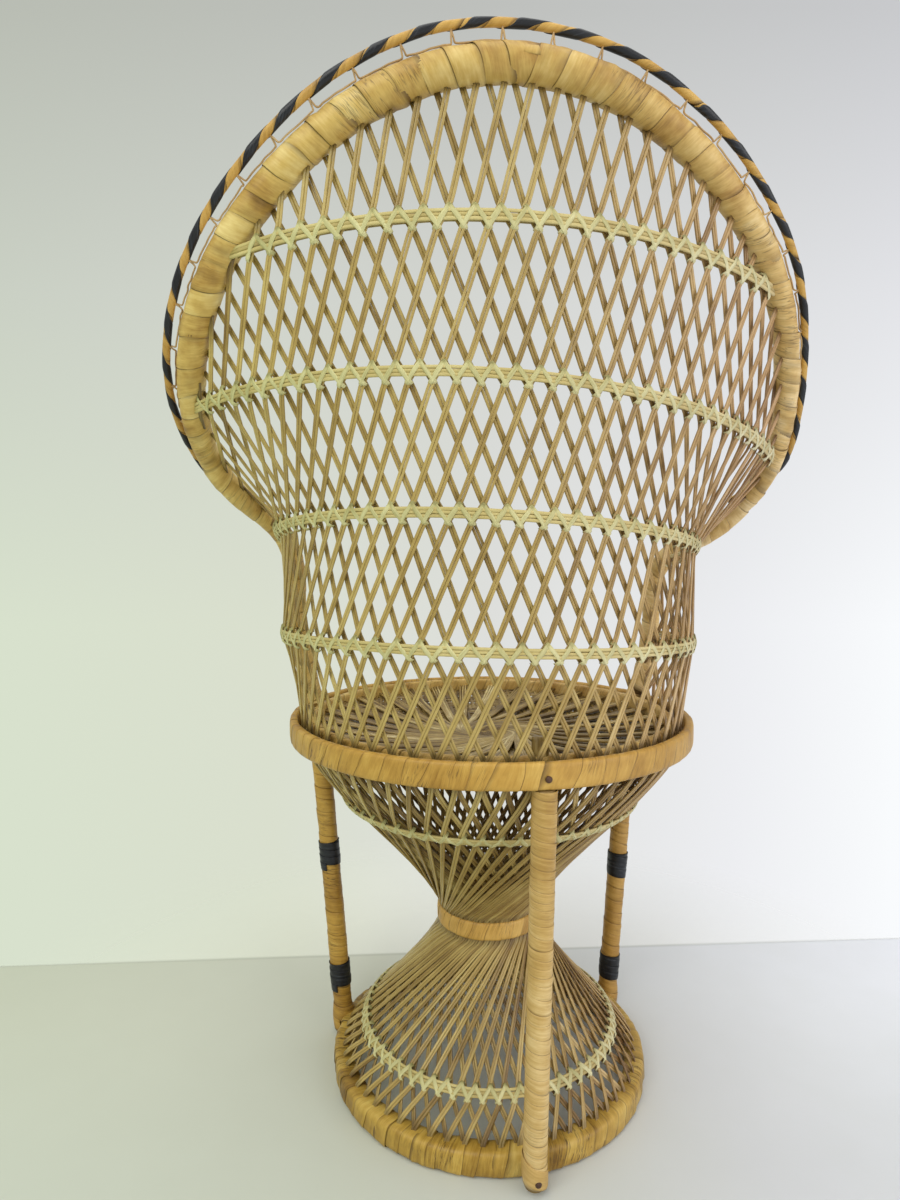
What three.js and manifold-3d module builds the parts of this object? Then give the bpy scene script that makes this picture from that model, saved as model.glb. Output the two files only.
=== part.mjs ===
// Small wicker peacock chair: an hourglass base of twisted strands between wrapped
// rings, three wrapped legs, a swirl-woven seat and a fan-shaped lattice back that
// ends on a wrapped hoop with a striped rim cane.
// Millimetres, +Z up. The sitter faces -Y, so the back of the chair is at +Y.
import * as THREE from "three";
import { mergeVertices } from "three/addons/utils/BufferGeometryUtils.js";
import Module from "manifold-3d";

const wasm = await Module();
wasm.setup();

// Clearances
const gap = 0.3;
const overrun = 2;

// Rings, each an outer and an inner hoop that hold the strands between them
const seatRadius = 95;
const seatTop = 175.5;
const seatBandHeight = 10.5;
const seatHoopThickness = 4;
const seatInnerHoopHeight = 7.5;
const seatInnerHoopThickness = 3.5;
const baseRadius = 76;
const baseHeight = 11;
const baseHoopThickness = 2.7;
const baseInnerHoopHeight = 8;
const baseInnerHoopThickness = 3.2;
const waistRadius = 25.2;
const waistTop = 80;
const waistHeight = 8.5;
const waistThickness = 3.7;

// Strands: each is a pair of reeds side by side, in an outer and an inner layer
const pairsPerCircle = 60;
const strandWidth = 2.6;
const strandThickness = 1.2;
const layerOffset = 0.85;
const waistStrandWidth = 1.8;
const footDepth = 2.5;

// Room for the two strand layers between the hoops of a ring
const layerRoom = 2 * (layerOffset + strandThickness / 2 + gap) + gap;
const seatLayerRoom = layerRoom + 3 * gap;
const seatInnerRadius = seatRadius - seatHoopThickness - seatLayerRoom;
const seatStrandRadius = seatInnerRadius + seatLayerRoom / 2;
const baseInnerRadius = baseRadius - baseHoopThickness - layerRoom;
const baseStrandRadius = baseInnerRadius + layerRoom / 2;

// Cone lattices between the rings
const lowerBandRadius = 59.6;
const lowerBandHeight = 24.2;
const upperBandRadius = 68.8;
const upperBandHeight = 137.4;
const waistStrandRadius = 23.2;
const footLean = THREE.MathUtils.degToRad(9);
const lowerTwist = THREE.MathUtils.degToRad(46);
const upperTwist = THREE.MathUtils.degToRad(52);
const coneSectors = 6;

// Horizontal bands of flat reeds and the cord lashed over them
const bandHeight = 3.6;
const bandThickness = 1.3;
const lashingWidth = 1.1;
const lashingThickness = 0.7;
const knotRise = 2.9;
const bandStep = 12;
const bandClearances = [0.85, 1.8, 0.85, 0.85];
const bandEndRoom = 3;

// Back shell, by level: seat ring, four bands from the bottom, crown of the hoop.
// A level is counted in rows of crossings: in one row a strand moves one pitch.
const ringLevel = 0;
const bandLevels = [2.25, 4.75, 7.25, 9.75];
const crownLevel = 11.5;
const shellLevels = [ringLevel, ...bandLevels, crownLevel];
const fanHeight = 240;
const fanFootDepth = 2.5;
const fanFoot = seatTop - fanFootDepth;
const ringPitch = (2 * Math.PI * seatStrandRadius) / pairsPerCircle;
const sagReach = seatRadius;
const levelHeightShares = [0, 0.17583, 0.38, 0.58167, 0.79875, 1];
const levelBackShares = [0.99831, 1.0344, 1.04907, 1.07163, 1.10547, 1.13254];
const levelPitchShares = [1.00394, 0.99102, 0.91023, 0.89945, 0.92638, 0.99102];
const levelSagShares = [0, 0.01474, 0.04, 0.04632, 0.06632, 0.06632];
const levelSlantShares = [0, 0, 0, 0, 0.045, 0.02];
const bendLevels = [ringLevel, 2.25, 4.5, 6, 7.25, 9.75, crownLevel];
const bendShares = [0.99831, 1.07163, 1.07163, 1.42132, 1.77101, 2.25606, 2.48167];
const knotShiftShare = 0.2;
const knotDriftShare = 0.05;

// The fan sits a little askew on the ring
const askewShare = 0.067;
const leanShare = 0.016;
const askewRise = 95;

// Levels where a strand of the back may bend, and how the back is divided
const stopLevels = [2.25, 3.5, 4.75, 6, 7.25, 9.75];
const shortestRun = 0.05;
const levelStep = 0.05;
const ringStop = 0.1;
const shellSectors = 6;
const tieThickness = 0.7;
const tieEndLevels = 0.3;

// Extra room between the layers where the fan twists towards the sitter's left
const twistRoom = 0.55;
const twistShares = [0.3, 1.2, 1.2, 1.3, 1.5, 0.5];

// Hoop: its bends, as a level and a distance along the shell from the centre line, in
// shares of the radius at which the strands stand in the seat ring
const hoopBendShares = [
  [2.25, 1.9402], [4.15, 1.9064], [4.9, 1.8613], [5.7, 1.824], [6.3, 1.8049], [7.1, 1.6988],
  [8.15, 1.5725], [9.3, 1.41], [10, 1.225], [10.55, 0.9791], [10.99, 0.7129], [11.31, 0.4287],
  [11.45, 0.2188], [crownLevel, 0],
];
const hoopBends = hoopBendShares.map(([level, share]) => [level, share * seatStrandRadius]);
const postAngle = THREE.MathUtils.degToRad(106);
const postRadius = 4.6;
const hoopSideRadius = 5.5;
const hoopCrownRadius = 6.4;
const hoopSteps = 52;
const hoopSides = 8;

// Rim cane outside the hoop, its dark ribbon and the vine lacing between the two
const rimRadius = 1.6;
const rimCrownDistance = 12.2;
const rimSideDistance = 10.8;
const rimSides = 6;
const rimStartShare = 0.17;
const rimEndShare = 0.845;
const rimSteps = 84;
const rimRightTurnShares = [rimStartShare, 0.23, 0.33];
const rimLeftTurnShares = [0.67, 0.77, rimEndShare];
const rimRightTurns = [-60, 38, 38].map(THREE.MathUtils.degToRad);
const rimLeftTurns = [38, 24, 4].map(THREE.MathUtils.degToRad);
const ribbonTurns = 35;
const ribbonWidth = 3;
const ribbonThickness = 0.5;
const ribbonStepsPerTurn = 6;
const lacingThickness = 1;
const lacingLoops = 40;

// Legs
const legRadius = 4.9;
const legSides = 14;
const backLegAngle = THREE.MathUtils.degToRad(3);
const sideLegAngle = THREE.MathUtils.degToRad(112);
const legTopInset = 4.5;
const legTopRadius = seatRadius - legTopInset;
const sideFootOverhang = 1;
const sideLegFootRadius = baseRadius + sideFootOverhang;
const backLegFootRadius = baseRadius + gap + legRadius;
const sleeveHeight = 15;
const sleeveThickness = 0.7;
const leftSleeveHeights = [29.5, 94];
const rightSleeveHeights = [23.5, 80];
const tongueWidth = 7;
const tongueDepth = 3.2;
const tongueHeight = 7;
const nailRadius = 1.35;
const nailThickness = 0.9;
const nailHeight = 169.5;
const nailSides = 10;
const skinAllowance = 2.6;

// Seat: a shallow dish of crossed reeds under a swirl of reeds
const seatEdgeHeight = 170.5;
const seatDip = 9;
const seatThickness = 2;
const swirlReeds = 30;
const swirlReedWidth = 3.2;
const swirlHubRadius = 9;
const swirlTurn = THREE.MathUtils.degToRad(75);
const swirlSteps = 3;

const ringSegments = 48;

// Smooth curve through a table, with slopes that never overshoot it
function smoothTable(keys, values) {
  const rises = keys.slice(1).map((key, i) => (values[i + 1] - values[i]) / (key - keys[i]));
  const slopes = keys.map((_, i) => {
    if (i === 0) return rises[0];
    if (i === keys.length - 1) return rises[i - 1];
    const before = rises[i - 1];
    const after = rises[i];
    return before * after <= 0 ? 0 : (2 * before * after) / (before + after);
  });
  return (at) => {
    let i = 0;
    while (i < keys.length - 2 && at > keys[i + 1]) i += 1;
    const span = keys[i + 1] - keys[i];
    const t = THREE.MathUtils.clamp((at - keys[i]) / span, 0, 1);
    const rest = 1 - t;
    const start = values[i] * (1 + 2 * t) * rest * rest + slopes[i] * span * t * rest * rest;
    const end = values[i + 1] * t * t * (3 - 2 * t) - slopes[i + 1] * span * t * t * rest;
    return start + end;
  };
}

const scaled = (shares, size) => shares.map((share) => share * size);
const riseAt = smoothTable(shellLevels, scaled(levelHeightShares, fanHeight));
const heightAt = (level) => fanFoot + riseAt(level);
const backAt = smoothTable(shellLevels, scaled(levelBackShares, seatStrandRadius));
const pitchAt = smoothTable(shellLevels, scaled(levelPitchShares, ringPitch));
const sagAt = smoothTable(shellLevels, scaled(levelSagShares, sagReach));
const slantAt = smoothTable(shellLevels, levelSlantShares);
const bendAt = smoothTable(bendLevels, scaled(bendShares, seatStrandRadius));
const twistAt = smoothTable(shellLevels, twistShares);

// Point of a ring, with its angle from the back centre towards the sitter's right
function polar(radius, angle, height) {
  return new THREE.Vector3(-radius * Math.sin(angle), radius * Math.cos(angle), height);
}

// The hand-made askew set of the fan
function askew(point) {
  const rise = Math.max(0, point.z - fanFoot);
  const ramp = Math.min(1, rise / askewRise);
  const across = -point.x;
  return new THREE.Vector3(
    -(across - leanShare * rise), point.y, point.z - askewShare * ramp * across,
  );
}

// Point of the back shell: along is measured on the shell from the centre line
// towards the sitter's right
function shellBase(along, level) {
  const bend = bendAt(level);
  const turn = along / bend;
  const sag = sagAt(level) * (along / sagReach) ** 2;
  const height = heightAt(level) - sag + slantAt(level) * along;
  const back = backAt(level) - bend + bend * Math.cos(turn);
  return askew(new THREE.Vector3(-bend * Math.sin(turn), back, height));
}

// Direction square to the shell, away from the sitter
function shellNormal(along, level) {
  const top = Math.min(level + levelStep, crownLevel);
  const rise = shellBase(along, top).sub(shellBase(along, top - 2 * levelStep));
  const across = shellBase(along + 1, level).sub(shellBase(along - 1, level));
  return across.cross(rise).normalize();
}

// Point at a distance out from the shell, away from the sitter
function shellPoint(along, level, out = 0) {
  return shellBase(along, level).addScaledVector(shellNormal(along, level), out);
}

// How far a strand layer lies out from the shell; layer is +1 or -1
function layerOut(along, level, layer) {
  const twist = (Math.max(0, -along, along - sagReach) / sagReach) * twistAt(level);
  return layer * (layerOffset + twistRoom * twist);
}

// Closed body from its corners and triangles
function closedBody(corners, triangles) {
  const geometry = new THREE.BufferGeometry();
  const positions = corners.flatMap((corner) => [corner.x, corner.y, corner.z]);
  geometry.setAttribute("position", new THREE.Float32BufferAttribute(positions, 3));
  geometry.setIndex(triangles.flat());
  geometry.computeVertexNormals();
  return geometry;
}

// Closed sweep of a convex section along points; frames give each step's side and
// normal directions, and shape gives the section's corners at that step
function sweep(points, frames, shape) {
  const corners = [];
  points.forEach((point, step) => {
    const { side, normal } = frames[step];
    for (const [across, out] of shape(step)) {
      corners.push(point.clone().addScaledVector(side, across).addScaledVector(normal, out));
    }
  });
  const sides = shape(0).length;
  const last = (points.length - 1) * sides;
  const triangles = [];
  for (let step = 0; step < points.length - 1; step += 1) {
    for (let i = 0; i < sides; i += 1) {
      const a = step * sides + i;
      const b = step * sides + ((i + 1) % sides);
      triangles.push([a, b, b + sides], [a, b + sides, a + sides]);
    }
  }
  for (let i = 1; i < sides - 1; i += 1) {
    triangles.push([0, i + 1, i], [last, last + i, last + i + 1]);
  }
  return orientedOut(closedBody(corners, triangles));
}

// Closed loop of a convex section along points
function sweepLoop(points, normals, section) {
  const frames = framesAlong(points, normals, true);
  const corners = points.flatMap((point, step) => section.map(([across, out]) => (
    point.clone().addScaledVector(frames[step].side, across)
      .addScaledVector(frames[step].normal, out))));
  const sides = section.length;
  const triangles = [];
  for (let step = 0; step < points.length; step += 1) {
    const next = ((step + 1) % points.length) * sides;
    for (let i = 0; i < sides; i += 1) {
      const a = step * sides + i;
      const b = step * sides + ((i + 1) % sides);
      const c = next + ((i + 1) % sides);
      triangles.push([a, b, c], [a, c, next + i]);
    }
  }
  return orientedOut(closedBody(corners, triangles));
}

// Frames of a sweep: the normal is made square to the run of the points
function framesAlong(points, normals, loop = false) {
  const count = points.length;
  return points.map((point, i) => {
    const before = loop ? points[(i + count - 1) % count] : points[Math.max(0, i - 1)];
    const after = loop ? points[(i + 1) % count] : points[Math.min(count - 1, i + 1)];
    const run = after.clone().sub(before).normalize();
    const side = new THREE.Vector3().crossVectors(run, normals[i]).normalize();
    const normal = new THREE.Vector3().crossVectors(side, run).normalize();
    return { side, normal, run };
  });
}

function roundSection(radius, sides) {
  return Array.from({ length: sides }, (_, i) => {
    const angle = (2 * Math.PI * i) / sides;
    return [-radius * Math.cos(angle), radius * Math.sin(angle)];
  });
}

function flatSection(width, thickness) {
  return [
    [width / 2, -thickness / 2], [-width / 2, -thickness / 2],
    [-width / 2, thickness / 2], [width / 2, thickness / 2],
  ];
}

function ridgeSection(width, thickness) {
  return [[0, -thickness / 2], [-width / 2, thickness / 2], [width / 2, thickness / 2]];
}

// Splits a twisted face along the diagonal that lies further out, so that it bulges
function splitFace(corners, centre, [a, b, farA, farB]) {
  const outOf = (from, to) => (
    corners[from].clone().add(corners[to]).multiplyScalar(0.5).distanceTo(centre));
  return outOf(a, farB) >= outOf(b, farA)
    ? [[a, b, farB], [a, farB, farA]]
    : [[a, b, farA], [b, farB, farA]];
}

// Comb of strands that rise from one wedge-shaped foot strip. Each strand is a list
// of {point, side, normal, width}; its first entry lies in the foot strip's top.
function comb(strands, footOf, closed) {
  const corners = [];
  const triangles = [];
  const [head, neighbour] = strands.map((strand) => strand[0]);
  const onward = neighbour.point.clone().sub(head.point).dot(head.side) > 0;
  const ordered = onward ? strands : [...strands].reverse();
  const first = ordered.map((strand) => {
    const start = corners.length;
    for (const { point, side, normal, width } of strand) {
      corners.push(
        point.clone().addScaledVector(side, width / 2).addScaledVector(normal, strandThickness / 2),
        point.clone().addScaledVector(side, -width / 2).addScaledVector(normal, strandThickness / 2),
        point.clone().addScaledVector(normal, -strandThickness / 2),
      );
    }
    corners.push(strand[0].point.clone().addScaledVector(footOf(strand[0].point), footDepth));
    return { start, tip: corners.length - 1, steps: strand.length - 1 };
  });
  for (const { start, tip, steps } of first) {
    for (let step = 0; step < steps; step += 1) {
      const a = start + 3 * step;
      const centre = corners.slice(a, a + 6)
        .reduce((sum, corner) => sum.addScaledVector(corner, 1 / 6), new THREE.Vector3());
      for (const [from, to] of [[0, 1], [1, 2], [2, 0]]) {
        triangles.push(...splitFace(corners, centre, [a + from, a + to, a + from + 3, a + to + 3]));
      }
    }
    const end = start + 3 * steps;
    triangles.push([end, end + 1, end + 2], [start + 1, start, tip]);
  }
  const joins = closed ? first.length : first.length - 1;
  for (let i = 0; i < joins; i += 1) {
    const here = first[i];
    const next = first[(i + 1) % first.length];
    triangles.push(
      [here.start, next.start + 1, next.tip], [here.start, next.tip, here.tip],
      [here.start + 2, here.tip, next.tip], [here.start + 2, next.tip, next.start + 2],
      [here.start, here.start + 2, next.start + 2], [here.start, next.start + 2, next.start + 1],
    );
  }
  if (!closed) {
    const lead = first[0];
    const tail = first[first.length - 1];
    triangles.push([lead.start + 1, lead.tip, lead.start + 2]);
    triangles.push([tail.start, tail.start + 2, tail.tip]);
  }
  return orientedOut(closedBody(corners, triangles));
}

function signedVolume(geometry) {
  const position = geometry.getAttribute("position");
  const corner = (i) => new THREE.Vector3().fromBufferAttribute(position, geometry.index.getX(i));
  let sum = 0;
  for (let i = 0; i < geometry.index.count; i += 3) {
    sum += corner(i).dot(corner(i + 1).cross(corner(i + 2)));
  }
  return sum;
}

// Turns every face over where the body came out inside out
function orientedOut(geometry) {
  if (signedVolume(geometry) > 0) return geometry;
  const index = geometry.index.array;
  for (let i = 0; i < index.length; i += 3) {
    [index[i], index[i + 1]] = [index[i + 1], index[i]];
  }
  geometry.computeVertexNormals();
  return geometry;
}

// Ring of revolution with a rectangular section
function hoopRing(outer, thickness, bottom, height) {
  const inner = outer - thickness;
  const profile = [
    [inner, bottom], [outer, bottom], [outer, bottom + height], [inner, bottom + height],
    [inner, bottom],
  ].map(([radius, at]) => new THREE.Vector2(radius, at));
  return lathed(profile, ringSegments);
}

// Lathe about the vertical axis, from points given as radius and height
function lathed(profile, segments) {
  const geometry = new THREE.LatheGeometry(profile, segments);
  geometry.rotateX(Math.PI / 2);
  geometry.deleteAttribute("normal");
  geometry.deleteAttribute("uv");
  return orientedOut(mergeVertices(geometry, 1e-4));
}

// Solids for cutting
function toSolid(geometry) {
  const bare = geometry.clone();
  bare.deleteAttribute("normal");
  bare.deleteAttribute("uv");
  const merged = mergeVertices(bare, 1e-4);
  return new wasm.Manifold(new wasm.Mesh({
    numProp: 3,
    vertProperties: merged.getAttribute("position").array,
    triVerts: new Uint32Array(merged.index.array),
  }));
}

function fromSolid(solid) {
  const mesh = solid.getMesh();
  const geometry = new THREE.BufferGeometry();
  geometry.setAttribute("position", new THREE.BufferAttribute(mesh.vertProperties, 3));
  geometry.setIndex(Array.from(mesh.triVerts));
  geometry.computeVertexNormals();
  return geometry;
}

// Materials
function material(color, roughness) {
  return new THREE.MeshStandardMaterial({ color, roughness, metalness: 0 });
}

const materials = {
  peel: () => material(0xc8a45c, 0.6),
  orangePeel: () => material(0xbe8440, 0.6),
  reed: () => material(0xc2a468, 0.65),
  paleReed: () => material(0xc8c487, 0.65),
  greyReed: () => material(0x9a8a6a, 0.7),
  black: () => material(0x2b2b30, 0.5),
  ochre: () => material(0xbe9146, 0.55),
  vine: () => material(0x6b4a2c, 0.7),
  steel: () => material(0x4a2f20, 0.5),
};

const chair = new THREE.Group();

function add(name, geometry, look) {
  const mesh = new THREE.Mesh(geometry, look());
  mesh.name = name;
  chair.add(mesh);
  return mesh;
}

// Rings
function addRings() {
  const seatBottom = seatTop - seatBandHeight;
  add("base_ring_outer", hoopRing(baseRadius, baseHoopThickness, 0, baseHeight), materials.peel);
  add("base_ring_inner", hoopRing(baseInnerRadius, baseInnerHoopThickness, 0, baseInnerHoopHeight),
    materials.peel);
  add("waist_ring", hoopRing(waistRadius, waistThickness, waistTop - waistHeight, waistHeight),
    materials.peel);
  add("seat_ring_outer", hoopRing(seatRadius, seatHoopThickness, seatBottom, seatBandHeight),
    materials.peel);
  add("seat_ring_inner", hoopRing(seatInnerRadius, seatInnerHoopThickness,
    seatTop - seatInnerHoopHeight, seatInnerHoopHeight), materials.peel);
}

// One strand of a cone: in its ring, then straight to the band, then straight to
// the waist. Layer is +1 for the outer layer and -1 for the inner one.
function coneStrand(cone, angle, layer) {
  const offset = layer * layerOffset;
  const stops = [
    { radius: cone.ringRadius, angle, height: cone.ringHeight, width: strandWidth },
    { radius: cone.bandRadius, angle: angle + layer * cone.sense * footLean, height: cone.bandHeight,
      width: strandWidth },
    { radius: cone.waistRadius, angle: angle + layer * cone.sense * (footLean + cone.twist),
      height: cone.waistHeight, width: waistStrandWidth },
  ];
  const slopeNormal = (a, b) => {
    const fall = new THREE.Vector2(b.radius - a.radius, b.height - a.height).normalize();
    return new THREE.Vector2(fall.y, -fall.x).multiplyScalar(Math.sign(fall.y));
  };
  const legs = [slopeNormal(stops[0], stops[1]), slopeNormal(stops[1], stops[2])];
  const flat = new THREE.Vector2(1, 0);
  const tilts = [flat, legs[0].clone().add(legs[1]).normalize(), flat];
  const placed = stops.map((stop, i) => {
    const radial = polar(1, stop.angle, 0);
    const normal = radial.clone().multiplyScalar(tilts[i].x);
    normal.z = tilts[i].y;
    const point = polar(stop.radius, stop.angle, stop.height).addScaledVector(normal, offset);
    return { point, normal, width: stop.width };
  });
  return placed.map((here, i) => {
    const before = placed[Math.max(1, i) - 1];
    const after = placed[Math.min(placed.length - 1, i + 1)];
    const run = after.point.clone().sub(before.point).normalize();
    const level = polar(1, stops[i].angle + Math.PI / 2, 0).multiplyScalar(cone.sense);
    const square = new THREE.Vector3().crossVectors(run, here.normal).normalize();
    return { ...here, side: i === 1 ? square : level };
  });
}

const lowerCone = {
  name: "lower_cone", sense: 1, ringRadius: baseStrandRadius, ringHeight: baseHeight - 1.5 * gap,
  bandRadius: lowerBandRadius, bandHeight: lowerBandHeight, twist: lowerTwist,
  waistRadius: waistStrandRadius, waistHeight: waistTop - waistHeight - gap,
};
const upperCone = {
  name: "upper_cone", sense: -1, ringRadius: seatStrandRadius,
  ringHeight: seatTop - seatBandHeight + gap, bandRadius: upperBandRadius,
  bandHeight: upperBandHeight, twist: upperTwist, waistRadius: waistStrandRadius,
  waistHeight: waistTop + gap,
};

function addCone(cone) {
  const pitch = (2 * Math.PI) / pairsPerCircle;
  const foot = () => new THREE.Vector3(0, 0, -cone.sense);
  const strandsOf = (layer, from, count) => Array.from({ length: count }, (_, i) => (
    coneStrand(cone, (from + i) * pitch, layer)));
  const perSector = pairsPerCircle / coneSectors;
  for (let sector = 0; sector < coneSectors; sector += 1) {
    const strands = strandsOf(1, sector * perSector, perSector);
    add(`${cone.name}_outer_${sector + 1}`, comb(strands, foot, false), materials.reed);
  }
  add(`${cone.name}_inner`, comb(strandsOf(-1, 0, pairsPerCircle), foot, true), materials.reed);
}

// Band of reeds round a cone and the cord lashed over it, laid along the slope of
// the strands
function addConeBand(cone) {
  const slope = new THREE.Vector2(cone.waistRadius - cone.bandRadius,
    Math.abs(cone.waistHeight - cone.bandHeight)).normalize();
  const outward = new THREE.Vector2(slope.y, -slope.x);
  const place = (out, up) => new THREE.Vector2(cone.bandRadius, 0)
    .addScaledVector(outward, out).addScaledVector(slope, up);
  const atHeight = (flat) => new THREE.Vector2(flat.x, cone.bandHeight + cone.sense * flat.y);
  const inside = layerOffset + strandThickness / 2 + 2 * gap;
  const outside = inside + bandThickness;
  const half = bandHeight / 2;
  const profile = [
    [inside, -half], [outside, -half], [outside, half], [inside, half], [inside, -half],
  ].map(([out, up]) => atHeight(place(out, up)));
  add(`${cone.name}_band`, lathed(profile, pairsPerCircle), materials.paleReed);
  const middle = outside + gap + lashingThickness / 2;
  const knots = Array.from({ length: 2 * pairsPerCircle }, (_, i) => {
    const angle = (i * Math.PI) / pairsPerCircle;
    const at = atHeight(place(middle, i % 2 === 0 ? knotRise : -knotRise));
    const normal = polar(outward.x, angle, cone.sense * outward.y);
    return { point: polar(at.x, angle, at.y), normal };
  });
  add(`${cone.name}_lashing`, sweepLoop(knots.map((knot) => knot.point),
    knots.map((knot) => knot.normal), ridgeSection(lashingWidth, lashingThickness)),
  materials.paleReed);
}

// Hoop: its centre line, with the direction away from the sitter at each point
const hoopEnd = (hand) => polar(seatStrandRadius, hand * postAngle, seatTop + gap);
const hoopHalf = (hand) => hoopBends.map(([level, along]) => [hand * along, level]);
const hoopPlaces = [...hoopHalf(1), ...hoopHalf(-1).reverse().slice(1)];
const hoopLine = new THREE.CatmullRomCurve3([
  hoopEnd(1), ...hoopPlaces.map(([along, level]) => shellPoint(along, level)), hoopEnd(-1),
]);
const hoopNormals = new THREE.CatmullRomCurve3([
  polar(1, postAngle, 0), ...hoopPlaces.map(([along, level]) => shellNormal(along, level)),
  polar(1, -postAngle, 0),
]);
const crownShare = 0.5;
const hoopShares = [0, 0.2, crownShare, 0.8, 1];
const hoopRadiusAt = smoothTable(hoopShares,
  [postRadius, hoopSideRadius, hoopCrownRadius, hoopSideRadius, postRadius]);

function hoopStations(from, to, count) {
  const shares = Array.from({ length: count + 1 }, (_, i) => from + ((to - from) * i) / count);
  const points = shares.map((share) => hoopLine.getPoint(share));
  const frames = framesAlong(points, shares.map((share) => hoopNormals.getPoint(share).normalize()));
  return shares.map((share, i) => ({ share, point: points[i], ...frames[i] }));
}

function addHoop() {
  const stations = hoopStations(0, 1, hoopSteps);
  const frames = stations.map(({ side, normal }) => ({ side, normal }));
  for (const [end, hand] of [[0, 1], [hoopSteps, -1]]) {
    const up = new THREE.Vector3(0, 0, hand);
    frames[end].normal = polar(1, hand * postAngle, 0);
    frames[end].side = new THREE.Vector3().crossVectors(up, frames[end].normal);
  }
  add("hoop", sweep(stations.map(({ point }) => point), frames,
    (step) => roundSection(hoopRadiusAt(step / hoopSteps), hoopSides)), materials.peel);
}

// How far along the shell the hoop lies at a level
const hoopReach = smoothTable(
  [ringLevel, ...hoopBends.map(([level]) => level)],
  [postAngle * seatStrandRadius, ...hoopBends.map(([, along]) => along)],
);
const hoopSamples = hoopStations(0, 1, 6 * hoopSteps);

function clearOfHoop(point, room) {
  return hoopSamples.every(({ share, point: centre }) => (
    centre.distanceTo(point) > hoopRadiusAt(share) + room));
}

function strandAlong(index, level, layer) {
  const drift = knotShiftShare - knotDriftShare * level;
  return pitchAt(level) * (index + layer * level + drift);
}

// Levels where a strand of the back starts and ends, or null where it has no room
function strandReach(index, layer) {
  const inside = (level) => {
    const along = strandAlong(index, level, layer);
    const room = strandWidth / 2 + 3 * gap;
    return Math.abs(along) < hoopReach(level)
      && clearOfHoop(shellPoint(along, level, layerOut(along, level, layer)), room);
  };
  const stepsPerLevel = 20;
  const rows = Math.floor((crownLevel - ringStop) * stepsPerLevel);
  const levels = Array.from({ length: rows + 1 }, (_, i) => ringStop + i / stepsPerLevel)
    .filter(inside);
  if (levels.length === 0) return null;
  return [levels[0], levels[levels.length - 1]];
}

function shellStrand(index, layer, [from, to]) {
  const between = stopLevels.filter((level) => (
    level > from + shortestRun && level < to - shortestRun));
  const levels = [from, ...between, to];
  const alongs = levels.map((level) => strandAlong(index, level, layer));
  const points = levels.map((level, i) => (
    shellPoint(alongs[i], level, layerOut(alongs[i], level, layer))));
  const frames = framesAlong(points, levels.map((level, i) => shellNormal(alongs[i], level)));
  if (from === ringStop) {
    const angle = alongs[0] / seatStrandRadius;
    frames[0] = { side: polar(1, angle + Math.PI / 2, 0), normal: polar(1, angle, 0) };
  }
  return levels.map((_, i) => ({
    point: points[i], side: frames[i].side, normal: frames[i].normal, width: strandWidth,
  }));
}

function addShellLayer(name, layer) {
  const found = Array.from({ length: 2 * pairsPerCircle }, (_, i) => i - pairsPerCircle)
    .map((index) => ({ index, reach: strandReach(index, layer) }))
    .filter(({ reach }) => reach !== null && reach[1] - reach[0] > 1);
  const seated = found.filter(({ reach }) => reach[0] === ringStop);
  const sideways = found.filter(({ reach }) => reach[0] > ringStop);
  const foot = () => new THREE.Vector3(0, 0, -1);
  const strandsOf = (list) => list.map(({ index, reach }) => shellStrand(index, layer, reach));
  const perSector = Math.ceil(seated.length / shellSectors);
  if (layer > 0) {
    for (let sector = 0; sector < shellSectors; sector += 1) {
      const own = seated.slice(sector * perSector, (sector + 1) * perSector);
      add(`${name}_${sector + 1}`, comb(strandsOf(own), foot, false), materials.reed);
    }
  } else {
    add(name, comb(strandsOf(seated), foot, false), materials.reed);
  }
  addSideStrands(`${name}_side`, layer, sideways);
}

// Strands that start on a post instead of the ring, held together by a thin tie that
// runs from strand to strand, along a band where they reach it
function addSideStrands(name, layer, list) {
  const bodies = list.map(({ index, reach }) => {
    const strand = shellStrand(index, layer, reach);
    return toSolid(sweep(strand.map(({ point }) => point), strand,
      () => ridgeSection(strandWidth, strandThickness)));
  });
  const places = list.map(({ index, reach: [from, to] }) => {
    const level = THREE.MathUtils.clamp(bandLevels[2], from + tieEndLevels, to - tieEndLevels);
    return { level, along: strandAlong(index, level, layer) };
  });
  const points = places.map(({ along, level }) => (
    shellPoint(along, level, layerOut(along, level, layer))));
  const frames = framesAlong(points, places.map(({ along, level }) => shellNormal(along, level)));
  const tie = toSolid(sweep(points, frames, () => flatSection(strandWidth, tieThickness)));
  add(name, fromSolid(bodies.reduce((sum, solid) => sum.add(solid), tie)), materials.reed);
}

// Longest reach along the shell that stays clear, in whole steps from the centre
function clearReach(isClear) {
  let reach = 0;
  while (isClear(reach + strandThickness)) reach += strandThickness;
  return reach;
}

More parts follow.
